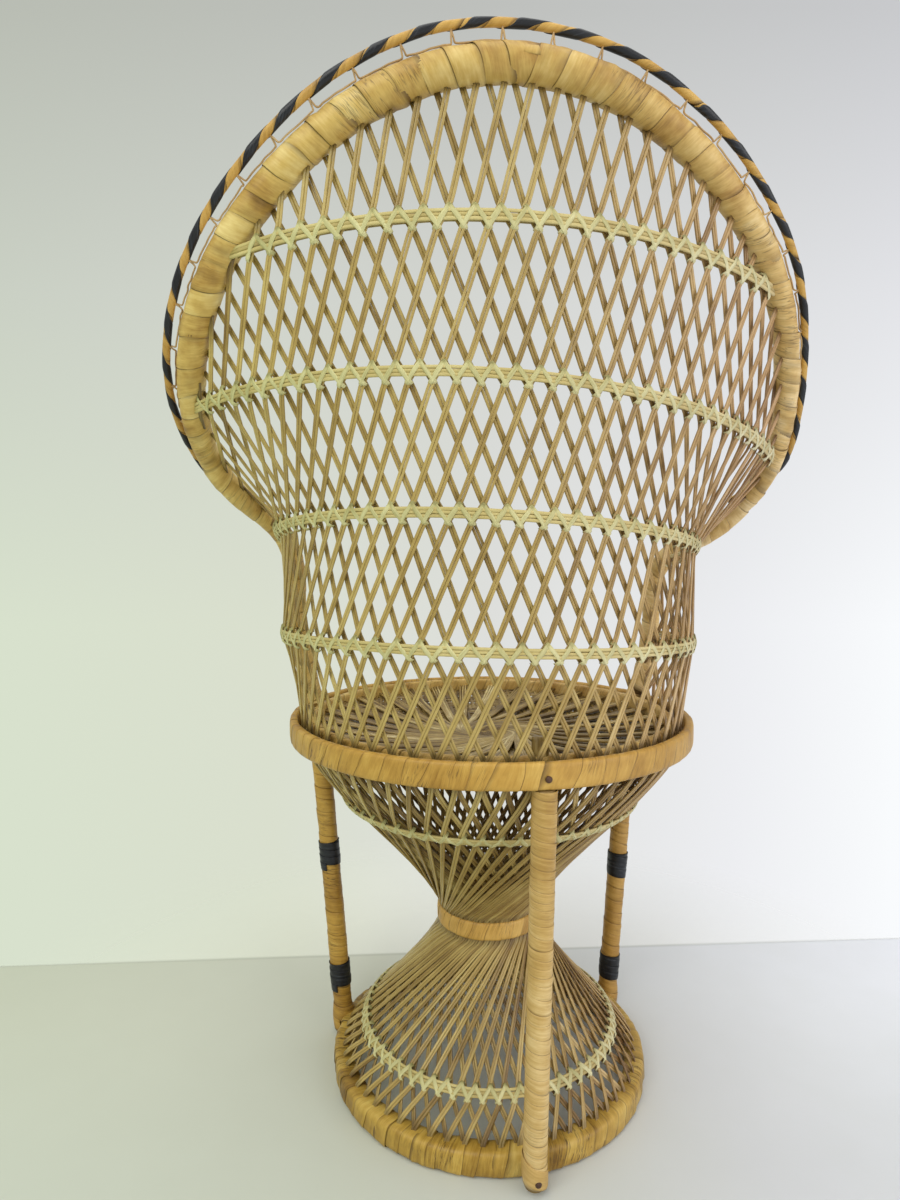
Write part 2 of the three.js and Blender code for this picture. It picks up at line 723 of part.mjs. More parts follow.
// Band of reeds across the back and the cord lashed over it from knot to knot
function addShellBand(number, level, clearance) {
  const bandOut = (along) => (
    layerOut(along, level, 1) + strandThickness / 2 + clearance + bandThickness / 2);
  const place = (along, rise) => {
    const upward = shellBase(along, level + levelStep).sub(shellBase(along, level)).normalize();
    return shellPoint(along, level, bandOut(along) + rise.out).addScaledVector(upward, rise.up);
  };
  const flat = { out: 0, up: 0 };
  const room = Math.hypot(bandHeight, bandThickness) / 2 + bandEndRoom;
  const [left, right] = [-1, 1].map((hand) => (
    hand * clearReach((along) => clearOfHoop(place(hand * along, flat), room))));
  const count = Math.round((right - left) / bandStep);
  const places = Array.from({ length: count + 1 }, (_, i) => left + ((right - left) * i) / count);
  const points = places.map((along) => place(along, flat));
  const normals = places.map((along) => shellNormal(along, level));
  add(`back_band_${number}`, sweep(points, framesAlong(points, normals),
    () => flatSection(bandHeight, bandThickness)), materials.paleReed);
  const pitch = pitchAt(level);
  const first = level - Math.floor(level) - 0.25 + knotShiftShare - knotDriftShare * level;
  const cordOut = bandThickness / 2 + 2 * gap + lashingThickness / 2;
  const reach = 2 * Math.ceil(right / pitch);
  const knots = Array.from({ length: 2 * reach + 1 }, (_, i) => i - reach)
    .map((i) => ({ along: pitch * (first + i / 2),
      rise: { out: cordOut, up: i % 2 === 0 ? -knotRise : knotRise } }))
    .filter(({ along }) => along > left + lashingWidth && along < right - lashingWidth);
  const knotPoints = knots.map(({ along, rise }) => place(along, rise));
  const knotNormals = knots.map(({ along }) => shellNormal(along, level));
  add(`back_lashing_${number}`, sweep(knotPoints, framesAlong(knotPoints, knotNormals),
    () => ridgeSection(lashingWidth, lashingThickness)), materials.paleReed);
}

// Rim cane: follows the hoop at a distance that grows towards the crown. Along the sides
// it stands out over the back of the hoop. Its end at the sitter's right swings to the front,
// and its end at the sitter's left lies beside the hoop
const rimDistanceAt = smoothTable(hoopShares,
  [rimSideDistance, rimSideDistance, rimCrownDistance, rimSideDistance, rimSideDistance]);

const rimTurnAt = smoothTable([...rimRightTurnShares, crownShare, ...rimLeftTurnShares],
  [...rimRightTurns, 0, ...rimLeftTurns]);

function rimStations(count) {
  return hoopStations(rimStartShare, rimEndShare, count).map((station) => {
    const turn = rimTurnAt(station.share);
    const away = station.side.clone().multiplyScalar(Math.cos(turn))
      .addScaledVector(station.normal, Math.sin(turn));
    const point = station.point.clone().addScaledVector(away, rimDistanceAt(station.share));
    return { ...station, point, away };
  });
}

function addRim() {
  const stations = rimStations(rimSteps);
  const centres = stations.map(({ point }) => point);
  const frames = framesAlong(centres, stations.map(({ away }) => away));
  add("rim_cane", sweep(centres, frames, () => roundSection(rimRadius, rimSides)),
    materials.ochre);
  const steps = ribbonTurns * ribbonStepsPerTurn;
  const fine = rimStations(steps);
  const fineFrames = framesAlong(fine.map(({ point }) => point), fine.map(({ away }) => away));
  const ribbonRadius = rimRadius + 2 * gap + ribbonThickness / 2;
  const wound = fine.map(({ point }, i) => {
    const turn = (-2 * Math.PI * i) / ribbonStepsPerTurn;
    const out = fineFrames[i].normal.clone().multiplyScalar(Math.cos(turn))
      .addScaledVector(fineFrames[i].side, Math.sin(turn));
    return { point: point.clone().addScaledVector(out, ribbonRadius), out };
  });
  const path = wound.map(({ point }) => point);
  add("rim_ribbon", sweep(path, framesAlong(path, wound.map(({ out }) => out)),
    () => ridgeSection(ribbonWidth, ribbonThickness)), materials.black);
  reportSelfGap("rim_ribbon", path, ribbonStepsPerTurn, Math.hypot(ribbonWidth, ribbonThickness));
}

// Least gap between neighbouring turns of a winding, measured on its centre points
function reportSelfGap(name, path, stepsPerTurn, width) {
  let least = Infinity;
  for (let i = 0; i < path.length; i += 1) {
    for (let j = i + stepsPerTurn - 1; j < path.length; j += 1) {
      least = Math.min(least, path[i].distanceTo(path[j]) - width);
    }
  }
  console.log(`${name} least gap to itself ${least.toFixed(2)} mm`);
}

function addLacing() {
  const fine = rimStations(2 * lacingLoops);
  const start = hoopStations(rimStartShare, rimEndShare, 2 * lacingLoops);
  const nearRim = rimRadius + 2 * gap + ribbonThickness + ribbonWidth / 4 + lacingThickness / 2;
  const points = start.map(({ share, point }, i) => {
    const nearHoop = hoopRadiusAt(share) + gap + lacingThickness / 2;
    const out = i % 2 === 0 ? nearHoop : Math.max(nearHoop, rimDistanceAt(share) - nearRim);
    return point.clone().addScaledVector(fine[i].away, out);
  });
  add("rim_lacing", sweep(points, framesAlong(points, fine.map(({ normal }) => normal)),
    () => ridgeSection(lacingThickness, lacingThickness)), materials.vine);
}

// Legs: round poles that lean in towards their feet, coped round the cone strands
function coneSkin(cone) {
  const profile = [
    [0, cone.waistHeight], [cone.waistRadius + skinAllowance, cone.waistHeight],
    [cone.bandRadius + skinAllowance, cone.bandHeight],
    [cone.ringRadius + skinAllowance, cone.ringHeight],
    [cone.ringRadius + skinAllowance, cone.ringHeight + cone.sense * -overrun],
    [0, cone.ringHeight + cone.sense * -overrun],
  ].map(([radius, height]) => new THREE.Vector2(radius, height));
  return toSolid(lathed(profile, ringSegments));
}

function addLeg(name, angle, footRadius, footHeight, sleeves, look) {
  const top = seatTop - seatBandHeight - gap;
  const footPoint = polar(footRadius, angle, 0);
  const topPoint = polar(legTopRadius, angle, top);
  const lean = topPoint.clone().sub(footPoint);
  const direction = lean.clone().normalize();
  const turn = new THREE.Quaternion().setFromUnitVectors(new THREE.Vector3(0, 1, 0), direction);
  const length = lean.length() + 2 * legRadius;
  const pole = new THREE.CylinderGeometry(legRadius, legRadius, length, legSides);
  pole.applyQuaternion(turn);
  const middle = footPoint.clone().add(topPoint).multiplyScalar(0.5);
  pole.translate(middle.x, middle.y, middle.z);
  const slab = new THREE.BoxGeometry(4 * seatRadius, 4 * seatRadius, top - footHeight);
  slab.translate(0, 0, (top + footHeight) / 2);
  const body = toSolid(pole).intersect(toSolid(slab))
    .subtract(coneSkin(upperCone)).subtract(coneSkin(lowerCone));
  add(name, fromSolid(body), look);
  sleeves.forEach((height, i) => {
    const inner = legRadius + gap;
    const outer = inner + sleeveThickness;
    const profile = [
      [inner, -sleeveHeight / 2], [outer, -sleeveHeight / 2], [outer, sleeveHeight / 2],
      [inner, sleeveHeight / 2], [inner, -sleeveHeight / 2],
    ].map(([radius, at]) => new THREE.Vector2(radius, at));
    const sleeve = add(`${name}_sleeve_${i + 1}`, lathed(profile, legSides), materials.black);
    sleeve.quaternion.setFromUnitVectors(new THREE.Vector3(0, 0, 1), direction);
    sleeve.position.copy(footPoint).addScaledVector(lean, height / top);
  });
}

function addLegs() {
  const stand = baseHeight + gap;
  addLeg("back_leg", backLegAngle, backLegFootRadius, 0, [], materials.peel);
  addLeg("left_leg", -sideLegAngle, sideLegFootRadius, stand, leftSleeveHeights,
    materials.orangePeel);
  addLeg("right_leg", sideLegAngle, sideLegFootRadius, stand, rightSleeveHeights,
    materials.orangePeel);
  const tongue = add("back_leg_tongue",
    new THREE.BoxGeometry(tongueWidth, tongueDepth, tongueHeight), materials.greyReed);
  tongue.position.copy(polar(seatInnerRadius - seatInnerHoopThickness / 2, backLegAngle,
    seatTop + gap + tongueHeight / 2));
  tongue.rotation.z = backLegAngle;
  const nail = add("seat_ring_nail",
    new THREE.CylinderGeometry(nailRadius, nailRadius, nailThickness, nailSides), materials.steel);
  nail.position.copy(polar(seatRadius + gap + nailThickness / 2, backLegAngle, nailHeight));
  nail.rotation.z = backLegAngle;
}

// Seat
const dishRadius = seatInnerRadius - seatInnerHoopThickness - gap;
const dishTop = (radius) => seatEdgeHeight - seatDip * (1 - (radius / dishRadius) ** 2);

function addSeat() {
  const dishShares = [0, 0.3, 0.65, 1];
  const top = dishShares.map((share) => (
    new THREE.Vector2(share * dishRadius, dishTop(share * dishRadius))));
  const under = top.map(({ x, y }) => new THREE.Vector2(x, y - seatThickness));
  add("seat_under_weave", lathed([...under, ...top.reverse()], ringSegments),
    materials.greyReed);
  const startRadius = dishRadius - footDepth - gap;
  const lift = 2 * gap + strandThickness;
  const up = new THREE.Vector3(0, 0, 1);
  const strands = Array.from({ length: swirlReeds }, (_, i) => {
    const from = (2 * Math.PI * i) / swirlReeds;
    const stops = Array.from({ length: swirlSteps + 1 }, (__, step) => {
      const share = step / swirlSteps;
      const radius = THREE.MathUtils.lerp(startRadius, swirlHubRadius, share);
      return { point: polar(radius, from + swirlTurn * share ** 2, dishTop(radius) + lift),
        width: THREE.MathUtils.lerp(swirlReedWidth, swirlReedWidth / 3, share) };
    });
    const frames = framesAlong(stops.map(({ point }) => point), stops.map(() => up));
    return stops.map((stop, step) => ({ ...stop, normal: up,
      side: step === 0 ? polar(1, from + Math.PI / 2, 0) : frames[step].side }));
  });
  const outward = (point) => new THREE.Vector3(point.x, point.y, 0).normalize();
  add("seat_swirl", comb(strands, outward, true), materials.greyReed);
  const hubRadius = swirlHubRadius - overrun;
  const hubSole = dishTop(swirlHubRadius) + gap;
  const hub = [
    [0, hubSole], [hubRadius, hubSole], [hubRadius, hubSole + strandThickness],
    [0, hubSole + 2 * strandThickness],
  ].map(([radius, height]) => new THREE.Vector2(radius, height));
  add("seat_hub", lathed(hub, legSides), materials.greyReed);
}

addRings();
addCone(lowerCone);
addCone(upperCone);
addConeBand(lowerCone);
addConeBand(upperCone);
addHoop();
addShellLayer("back_outer", 1);
addShellLayer("back_inner", -1);
bandLevels.forEach((level, i) => (
  addShellBand(bandLevels.length - i, level, bandClearances[i])));
addRim();
addLacing();
addLegs();
addSeat();

// Origin on the floor, under the middle of the chair
const box = new THREE.Box3().setFromObject(chair, true);
const middle = box.getCenter(new THREE.Vector3());
chair.position.set(-middle.x, -middle.y, -box.min.z);

export default chair;
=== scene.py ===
import math
import bpy
import numpy as np
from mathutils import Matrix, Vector


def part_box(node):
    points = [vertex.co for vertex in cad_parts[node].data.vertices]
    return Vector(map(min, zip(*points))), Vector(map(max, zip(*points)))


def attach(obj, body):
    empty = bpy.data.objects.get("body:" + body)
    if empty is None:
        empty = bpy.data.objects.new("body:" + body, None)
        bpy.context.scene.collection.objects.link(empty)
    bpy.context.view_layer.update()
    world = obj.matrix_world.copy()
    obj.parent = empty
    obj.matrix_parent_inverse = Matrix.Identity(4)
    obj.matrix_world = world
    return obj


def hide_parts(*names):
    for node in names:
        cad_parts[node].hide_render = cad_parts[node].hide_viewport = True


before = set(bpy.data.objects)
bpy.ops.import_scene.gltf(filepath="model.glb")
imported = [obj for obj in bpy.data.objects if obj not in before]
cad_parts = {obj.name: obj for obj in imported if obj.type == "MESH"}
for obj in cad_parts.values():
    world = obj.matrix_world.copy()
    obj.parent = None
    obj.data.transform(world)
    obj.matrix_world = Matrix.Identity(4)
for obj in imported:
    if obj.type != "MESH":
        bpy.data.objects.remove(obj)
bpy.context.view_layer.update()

bpy.context.scene.view_settings.view_transform = "Standard"

# Lengths below are millimetres from the axis of the seat ring, unless a name says otherwise
MM = 0.001
ring_low, ring_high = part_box("seat_ring_outer")
AXIS = np.array([(ring_low[0] + ring_high[0]) / 2, (ring_low[1] + ring_high[1]) / 2, 0.0])
UP = np.array([0, 0, 1.0])
rng = np.random.default_rng(7)

# Rings
SEAT_RADIUS = 95.0
SEAT_TOP = 175.5
SEAT_BAND = 10.5
SEAT_BOTTOM = SEAT_TOP - SEAT_BAND
SEAT_HOOP_THICKNESS = 4.0
SEAT_ROOM = 4.7
SEAT_INNER_BAND = 7.5
SEAT_INNER_THICKNESS = 3.5
SEAT_INNER_RADIUS = SEAT_RADIUS - SEAT_HOOP_THICKNESS - SEAT_ROOM
SEAT_STRAND_RADIUS = SEAT_INNER_RADIUS + SEAT_ROOM / 2
BASE_RADIUS = 76.0
BASE_HEIGHT = 11.0
BASE_DEPTH = 9.6
BASE_STRAND_RADIUS = 71.4
WAIST_RADIUS = 25.2
WAIST_TOP = 80.0
WAIST_HEIGHT = 8.5
WAIST_BOTTOM = WAIST_TOP - WAIST_HEIGHT
WAIST_THICKNESS = 3.7
WAIST_STRAND_RADIUS = 23.2

# Strands
PAIRS = 60
REED_RADIUS = 0.55
PAIR_OFFSET = 0.57
LAYER_OFFSET = 0.68
LOWER_BAND_RADIUS = 59.6
LOWER_BAND_Z = 24.2
UPPER_BAND_RADIUS = 68.8
UPPER_BAND_Z = 137.4
FOOT_LEAN = math.radians(7.5)
LOWER_TWIST = math.radians(47.5)
UPPER_TWIST = math.radians(53.5)

# Back shell by level
CROWN_LEVEL = 11.5
BAND_LEVELS = [2.25, 4.75, 7.25, 9.75]
SHELL_LEVELS = [0.0, *BAND_LEVELS, CROWN_LEVEL]
LEVEL_HEIGHTS = [173, 215.2, 264.2, 312.6, 364.7, 413]
LEVEL_BACKS = [88.5, 91.7, 93, 95, 98, 100.4]
LEVEL_PITCHES = [9.32, 9.2, 8.45, 8.35, 8.6, 9.2]
LEVEL_SAGS = [0, 1.4, 3.8, 4.4, 6.3, 6.3]
LEVEL_SLANT_SHARES = [0, 0, 0, 0, 0.045, 0.02]
TWIST_SHARES = [0.3, 1.2, 1.2, 1.3, 1.5, 0.5]
SAG_REACH = 95.0
BEND_LEVELS = [0, 2.25, 4.5, 6, 7.25, 9.75, CROWN_LEVEL]
BEND_RADII = [88.5, 95, 95, 126, 157, 200, 220]
KNOT_SHIFT_SHARE = 0.2
KNOT_DRIFT_SHARE = 0.05
ASKEW_SHARE = 0.067
LEAN_SHARE = 0.016
ASKEW_RISE = 95.0
LEVEL_STEP = 0.05
TWIST_ROOM = 0.55
# Rows of crossings that the cords tie, two to a band, with the two ends of the shell
KNOT_ROWS = np.array([0, 2, 2.5, 4.5, 5, 7, 7.5, 9.5, 10, 11.5])
KNOT_HEIGHTS = np.array([173, 212.3, 218.1, 261.3, 267.1, 309.7, 315.5, 361.8, 367.6, 413])

# Hoop, as levels and distances from the middle of the back, and the rim outside it
HOOP_BENDS = [
    (2.25, 172), (4.15, 169), (4.9, 165), (5.7, 161.7), (6.3, 160), (7.1, 150.6), (8.15, 139.4),
    (9.3, 125), (10, 108.6), (10.55, 86.8), (10.99, 63.2), (11.31, 38), (11.45, 19.4), (11.5, 0),
]
POST_ANGLE = math.radians(106)
HOOP_SHARES = [0, 0.2, 0.3, 0.5, 0.7, 0.8, 1]
HOOP_RADII = [4.4, 5.0, 5.3, 6.1, 5.8, 5.4, 4.6]
RIM_START_SHARE = 0.17
RIM_END_SHARE = 0.857
RIM_SHARES = [RIM_START_SHARE, 0.22, 0.27, 0.33, 0.5, 0.67, 0.77, 0.845]
RIM_DISTANCES = [7.0, 7.4, 7.6, 9.8, 12.2, 11.0, 9.8, 7.9]
RIM_TURN_SHARES = [RIM_START_SHARE, 0.23, 0.33, 0.5, 0.67, 0.77, 0.845]
RIM_TURNS = np.radians([-60, 38, 38, 0, 38, 24, 4])
RIM_RADIUS = 1.7

# Legs
LEG_RADIUS = 4.9
BACK_LEG_ANGLE = math.radians(3)
SIDE_LEG_ANGLE = math.radians(112)
LEG_TOP_RADIUS = 90.5
LEG_TOP = SEAT_BOTTOM - 0.3
SIDE_FOOT_RADIUS = 77.0
BACK_FOOT_RADIUS = 81.2


def smooth_table(keys, values):
    """Smooth curve through a table, with slopes that never overshoot it."""
    keys, values = np.array(keys, float), np.array(values, float)
    rises = np.diff(values) / np.diff(keys)
    slopes = np.concatenate([rises[:1], rises])
    before, after = rises[:-1], rises[1:]
    same = before * after > 0
    slopes[1:-1] = np.where(same, 2 * before * after / np.where(same, before + after, 1), 0)

    def at(x):
        x = np.asarray(x, float)
        i = np.clip(np.searchsorted(keys, x, side="left") - 1, 0, len(keys) - 2)
        span = keys[i + 1] - keys[i]
        t = np.clip((x - keys[i]) / span, 0, 1)
        r = 1 - t
        start = values[i] * (1 + 2 * t) * r * r + slopes[i] * span * t * r * r
        return start + values[i + 1] * t * t * (3 - 2 * t) - slopes[i + 1] * span * t * t * r

    return at


height_at = smooth_table(SHELL_LEVELS, LEVEL_HEIGHTS)
back_at = smooth_table(SHELL_LEVELS, LEVEL_BACKS)
pitch_at = smooth_table(SHELL_LEVELS, LEVEL_PITCHES)
sag_at = smooth_table(SHELL_LEVELS, LEVEL_SAGS)
slant_at = smooth_table(SHELL_LEVELS, LEVEL_SLANT_SHARES)
bend_at = smooth_table(BEND_LEVELS, BEND_RADII)
twist_at = smooth_table(SHELL_LEVELS, TWIST_SHARES)


def unit(v):
    v = np.asarray(v, float)
    return v / np.maximum(np.linalg.norm(v, axis=-1, keepdims=True), 1e-9)


def read_at(x, keys, table):
    """Rows of a table at places between its keys."""
    return np.stack([np.interp(x, keys, column) for column in table.T], axis=-1)


def polar(radius, angle, height):
    """Point of a ring, with its angle from the back centre towards the sitter's right."""
    radius, angle, height = np.broadcast_arrays(*(np.asarray(v, float) for v in (radius, angle, height)))
    return np.stack([-radius * np.sin(angle), radius * np.cos(angle), height], axis=-1)


def shell_base(along, level):
    """Point of the back, by distance along it from its middle and by level."""
    along, level = np.broadcast_arrays(np.asarray(along, float), np.asarray(level, float))
    bend = bend_at(level)
    turn = along / bend
    x = -bend * np.sin(turn)
    y = back_at(level) - bend + bend * np.cos(turn)
    z = height_at(level) - sag_at(level) * (along / SAG_REACH) ** 2 + slant_at(level) * along
    rise = np.maximum(0, z - LEVEL_HEIGHTS[0])
    ramp = np.minimum(1, rise / ASKEW_RISE)
    return np.stack([x + LEAN_SHARE * rise, y, z + ASKEW_SHARE * ramp * x], axis=-1)


def shell_up(along, level):
    top = np.minimum(np.asarray(level, float) + LEVEL_STEP, CROWN_LEVEL)
    return unit(shell_base(along, top) - shell_base(along, top - 2 * LEVEL_STEP))


def shell_across(along, level):
    return unit(shell_base(np.asarray(along) + 1, level) - shell_base(np.asarray(along) - 1, level))


def shell_normal(along, level):
    return unit(np.cross(shell_across(along, level), shell_up(along, level)))


def shell_point(along, level, out=0.0):
    out = np.asarray(out, float)
    return shell_base(along, level) + shell_normal(along, level) * out[..., None]


def layer_out(along, level, layer):
    """How far a layer of strands stands off the shell: further where the back curves forward."""
    twist = np.maximum(0, np.maximum(-along, along - SAG_REACH)) / SAG_REACH * twist_at(level)
    return layer * (LAYER_OFFSET + TWIST_ROOM * twist)


dense_levels = np.linspace(0, CROWN_LEVEL, 2000)
ROW_LEVELS = np.interp(KNOT_HEIGHTS, height_at(dense_levels), dense_levels)


def row_along(count, row):
    """Distance along a row of crossings, by a count of pitches from the middle."""
    level = ROW_LEVELS[row]
    return pitch_at(level) * (count + KNOT_SHIFT_SHARE - KNOT_DRIFT_SHARE * level)


def spline(points, shares):
    """Centripetal Catmull-Rom curve through points, at shares of its count of spans."""
    points = np.asarray(points, float)
    ends = np.vstack([2 * points[0] - points[1], points, 2 * points[-1] - points[-2]])
    place = np.clip(np.asarray(shares, float), 0, 1) * (len(points) - 1)
    i = np.minimum(place.astype(int), len(points) - 2)
    w = (place - i)[:, None]
    p0, p1, p2, p3 = ends[i], ends[i + 1], ends[i + 2], ends[i + 3]
    gaps = [np.sqrt(np.linalg.norm(b - a, axis=1))[:, None] for a, b in ((p0, p1), (p1, p2), (p2, p3))]
    d0, d1, d2 = (np.maximum(gap, 1e-3) for gap in gaps)
    t1 = ((p1 - p0) / d0 - (p2 - p0) / (d0 + d1) + (p2 - p1) / d1) * d1
    t2 = ((p2 - p1) / d1 - (p3 - p1) / (d1 + d2) + (p3 - p2) / d2) * d1
    a = 2 * p1 - 2 * p2 + t1 + t2
    b = -3 * p1 + 3 * p2 - 2 * t1 - t2
    return a * w ** 3 + b * w ** 2 + t1 * w + p1


def lengths(points):
    return np.concatenate([[0], np.cumsum(np.linalg.norm(np.diff(points, axis=0), axis=1))])


def resample(points, step, *others):
    """Points, and any arrays that go with them, at even steps along their length."""
    run = lengths(points)
    at = np.linspace(0, run[-1], max(2, int(round(run[-1] / step)) + 1))
    return [read_at(at, run, a) if a.ndim > 1 else np.interp(at, run, a) for a in (points, *others)]


def frames_along(points, normals, loop=False):
    """Sideways direction and true normal at each point of a line."""
    ahead = np.roll(points, -1, 0) - np.roll(points, 1, 0) if loop else np.gradient(points, axis=0)
    run = unit(ahead)
    side = unit(np.cross(run, normals))
    return side, unit(np.cross(side, run))


def wobble(count, size, waves, loop=False):
    """Slow random drift about zero, with about that many waves over the count."""
    knots = max(4, int(waves * 2) + 2)
    values = rng.normal(0, size, knots)
    if loop:
        values[-1] = values[0]
    x = np.linspace(0, knots - 1, count)
    i = np.minimum(x.astype(int), knots - 2)
    t = x - i
    t = t * t * (3 - 2 * t)
    return values[i] * (1 - t) + values[i + 1] * t


def any_tint(middle, spread):
    return float(np.clip(rng.normal(middle, spread), 0, 1))


# Each sweep takes its grain from another place along the texture
GRAIN_SHIFT = 4000


class Bundle:
    """Many closed sweeps gathered into one mesh, with lengths as UV, a tint and a painted shade."""

    def __init__(self, name):
        self.name = name
        self.verts, self.faces, self.uvs, self.tints, self.shades = [], [], [], [], []
        self.count = 0

    def grid(self, rows, tint, loop=False, shade=1.0):
        """Adds a tube of rows of points, closed at its ends unless it is a loop."""
        n, m = rows.shape[:2]
        base = self.count
        self.verts.append(rows.reshape(-1, 3))
        self.count += n * m
        tint = np.asarray(tint, float)
        self.tints.append(np.broadcast_to(tint[:, None] if tint.ndim == 1 else tint, (n, m)).reshape(-1))
        self.shades.append(np.broadcast_to(np.asarray(shade, float), (n, m)).reshape(-1))
        middle = rows.mean(axis=1)
        run = lengths(middle) + rng.uniform(0, GRAIN_SHIFT)
        last = n if loop else n - 1
        if loop:
            run = np.append(run, lengths(np.vstack([middle, middle[:1]]))[-1] + run[0])
        i, j = np.arange(last)[:, None], np.arange(m)[None, :]
        here, there, beside = base + i * m, base + (i + 1) % n * m, (j + 1) % m
        quads = np.stack([here + j, here + beside, there + beside, there + j], axis=-1)
        self.faces.append(quads.reshape(-1, 4))
        ring = np.arange(m + 1) / m
        u = [np.broadcast_to(v[:, None], (last, m)) for v in (run[:last], run[1:last + 1])]
        v = [np.broadcast_to(v, (last, m)) for v in (ring[:m], ring[1:])]
        corners = [np.stack([u[a], v[b]], -1) for a, b in ((0, 0), (0, 1), (1, 1), (1, 0))]
        self.uvs.append(np.stack(corners, axis=2).reshape(-1, 2))
        if loop:
            return
        fan = np.arange(1, m - 1)
        for row, order in ((0, 1), (n - 1, -1)):
            at = base + row * m
            tri = np.stack([np.full(m - 2, at), at + fan + 1, at + fan], -1)[:, ::order]
            self.faces.append(np.column_stack([tri, np.full(m - 2, -1)]))
            fan_v = np.tile([0.0, 0.5, 1.0], m - 2)
            self.uvs.append(np.column_stack([np.full(len(fan_v), run[row]), fan_v]))

    def build(self, material):
        verts = (np.vstack(self.verts) * MM + AXIS).astype(np.float32)
        faces = np.vstack(self.faces)
        sizes = np.where(faces[:, 3] < 0, 3, 4)
        loops = faces[faces >= 0]
        mesh = bpy.data.meshes.new(self.name)
        mesh.vertices.add(len(verts))
        mesh.vertices.foreach_set("co", verts.reshape(-1))
        mesh.loops.add(len(loops))
        mesh.loops.foreach_set("vertex_index", loops.astype(np.int32))
        mesh.polygons.add(len(faces))
        mesh.polygons.foreach_set("loop_start", np.concatenate([[0], np.cumsum(sizes)[:-1]]).astype(np.int32))
        mesh.polygons.foreach_set("use_smooth", np.ones(len(faces), bool))
        layer = mesh.uv_layers.new(name="UVMap")
        layer.data.foreach_set("uv", np.vstack(self.uvs).astype(np.float32).reshape(-1))
        for label, values in (("tint", self.tints), ("shade", self.shades)):
            attribute = mesh.attributes.new(label, "FLOAT", "POINT")
            attribute.data.foreach_set("value", np.concatenate(values).astype(np.float32))
        mesh.validate()
        mesh.update()
        mesh.materials.append(material)
        piece = bpy.data.objects.new(self.name, mesh)
        bpy.context.scene.collection.objects.link(piece)
        return piece

    def place(self, material, slot, *nodes):
        """Builds the piece, which rides the chair in the place of the nodes."""
        piece = self.build(material)
        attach(piece, "root")
        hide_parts(*nodes)


def sweep(bundle, points, normals, section, tint, loop=False, shade=1.0):
    """Sweeps a section, fixed or one per step, given as (across, out) corners."""
    side, normal = frames_along(points, normals, loop)
    section = np.asarray(section, float)
    if section.ndim == 2:
        section = np.broadcast_to(section, (len(points),) + section.shape)
    rows = points[:, None] + section[..., :1] * side[:, None] + section[..., 1:] * normal[:, None]
    bundle.grid(rows, tint, loop=loop, shade=shade)


def round_section(radius, sides):
    angle = 2 * np.pi * np.arange(sides) / sides
    return np.stack([-np.cos(angle), np.sin(angle)], axis=1) * radius


def ribbon_section(width, thickness, crown=0.3):
    """Flat strip with rounded edges and a slightly crowned face."""
    x = np.array([0.5, 0.42, 0.2, -0.2, -0.42, -0.5, -0.42, 0.42]) * -width
    y = np.array([0, 0.5, 0.5 + crown, 0.5 + crown, 0.5, 0, -0.5, -0.5]) * thickness
    return np.stack([x, y], axis=1)


ROUND_REED = round_section(1.0, 6)
FLAT_REED = np.array([(-1.05, 0), (-0.9, 0.6), (-0.45, 0.78), (0.45, 0.78), (0.9, 0.6), (1.05, 0),
                      (0.6, -0.75), (-0.6, -0.75)])
SPLIT_REED = dict(roughness=0.015, outline=FLAT_REED)
PARTING_SHARE = 0.06
THICKNESS_SHARES = (0.93, 1.05)
SIDE_DRIFT = 0.025
OUT_DRIFT = 0.03


def reed_tube(bundle, points, normals, radius, tint, loop=False, shade=1.0, roughness=0.03,
              outline=ROUND_REED):
    """Thin reed whose thickness drifts a little."""
    count = len(points)
    thick = radius * (1 + wobble(count, roughness, max(1, count / 8), loop))
    sweep(bundle, points, normals, outline[None] * thick[:, None, None], tint, loop=loop, shade=shade)


def reed_pair(bundle, points, normals, tint, shade, offset=PAIR_OFFSET, spread=0.06):
    """Two split reeds side by side that part a little along their length."""
    side, normal = frames_along(points, normals)
    count = len(points)
    waves = max(1, count / 7)
    for hand in (-1, 1):
        parting = 1 + rng.uniform(-PARTING_SHARE, PARTING_SHARE)
        across = hand * offset * parting + wobble(count, SIDE_DRIFT, waves)
        out = wobble(count, OUT_DRIFT, waves)
        line = points + side * across[:, None] + normal * out[:, None]
        own = np.clip(tint + rng.normal(0, spread), 0, 1)
        radius = REED_RADIUS * rng.uniform(*THICKNESS_SHARES)
        reed_tube(bundle, line, normals, radius, own, shade=shade, **SPLIT_REED)


# Materials
def rgb(r, g, b):
    """Linear colour from one written as seen on screen."""
    return tuple(c / 12.92 if c <= 0.04045 else ((c + 0.055) / 1.055) ** 2.4
                 for c in (v / 255 for v in (r, g, b))) + (1.0,)


def stops(*rows):
    """Stops of a colour ramp, each a share and a colour as seen on screen."""
    return [(share, rgb(*colour)) for share, *colour in rows]


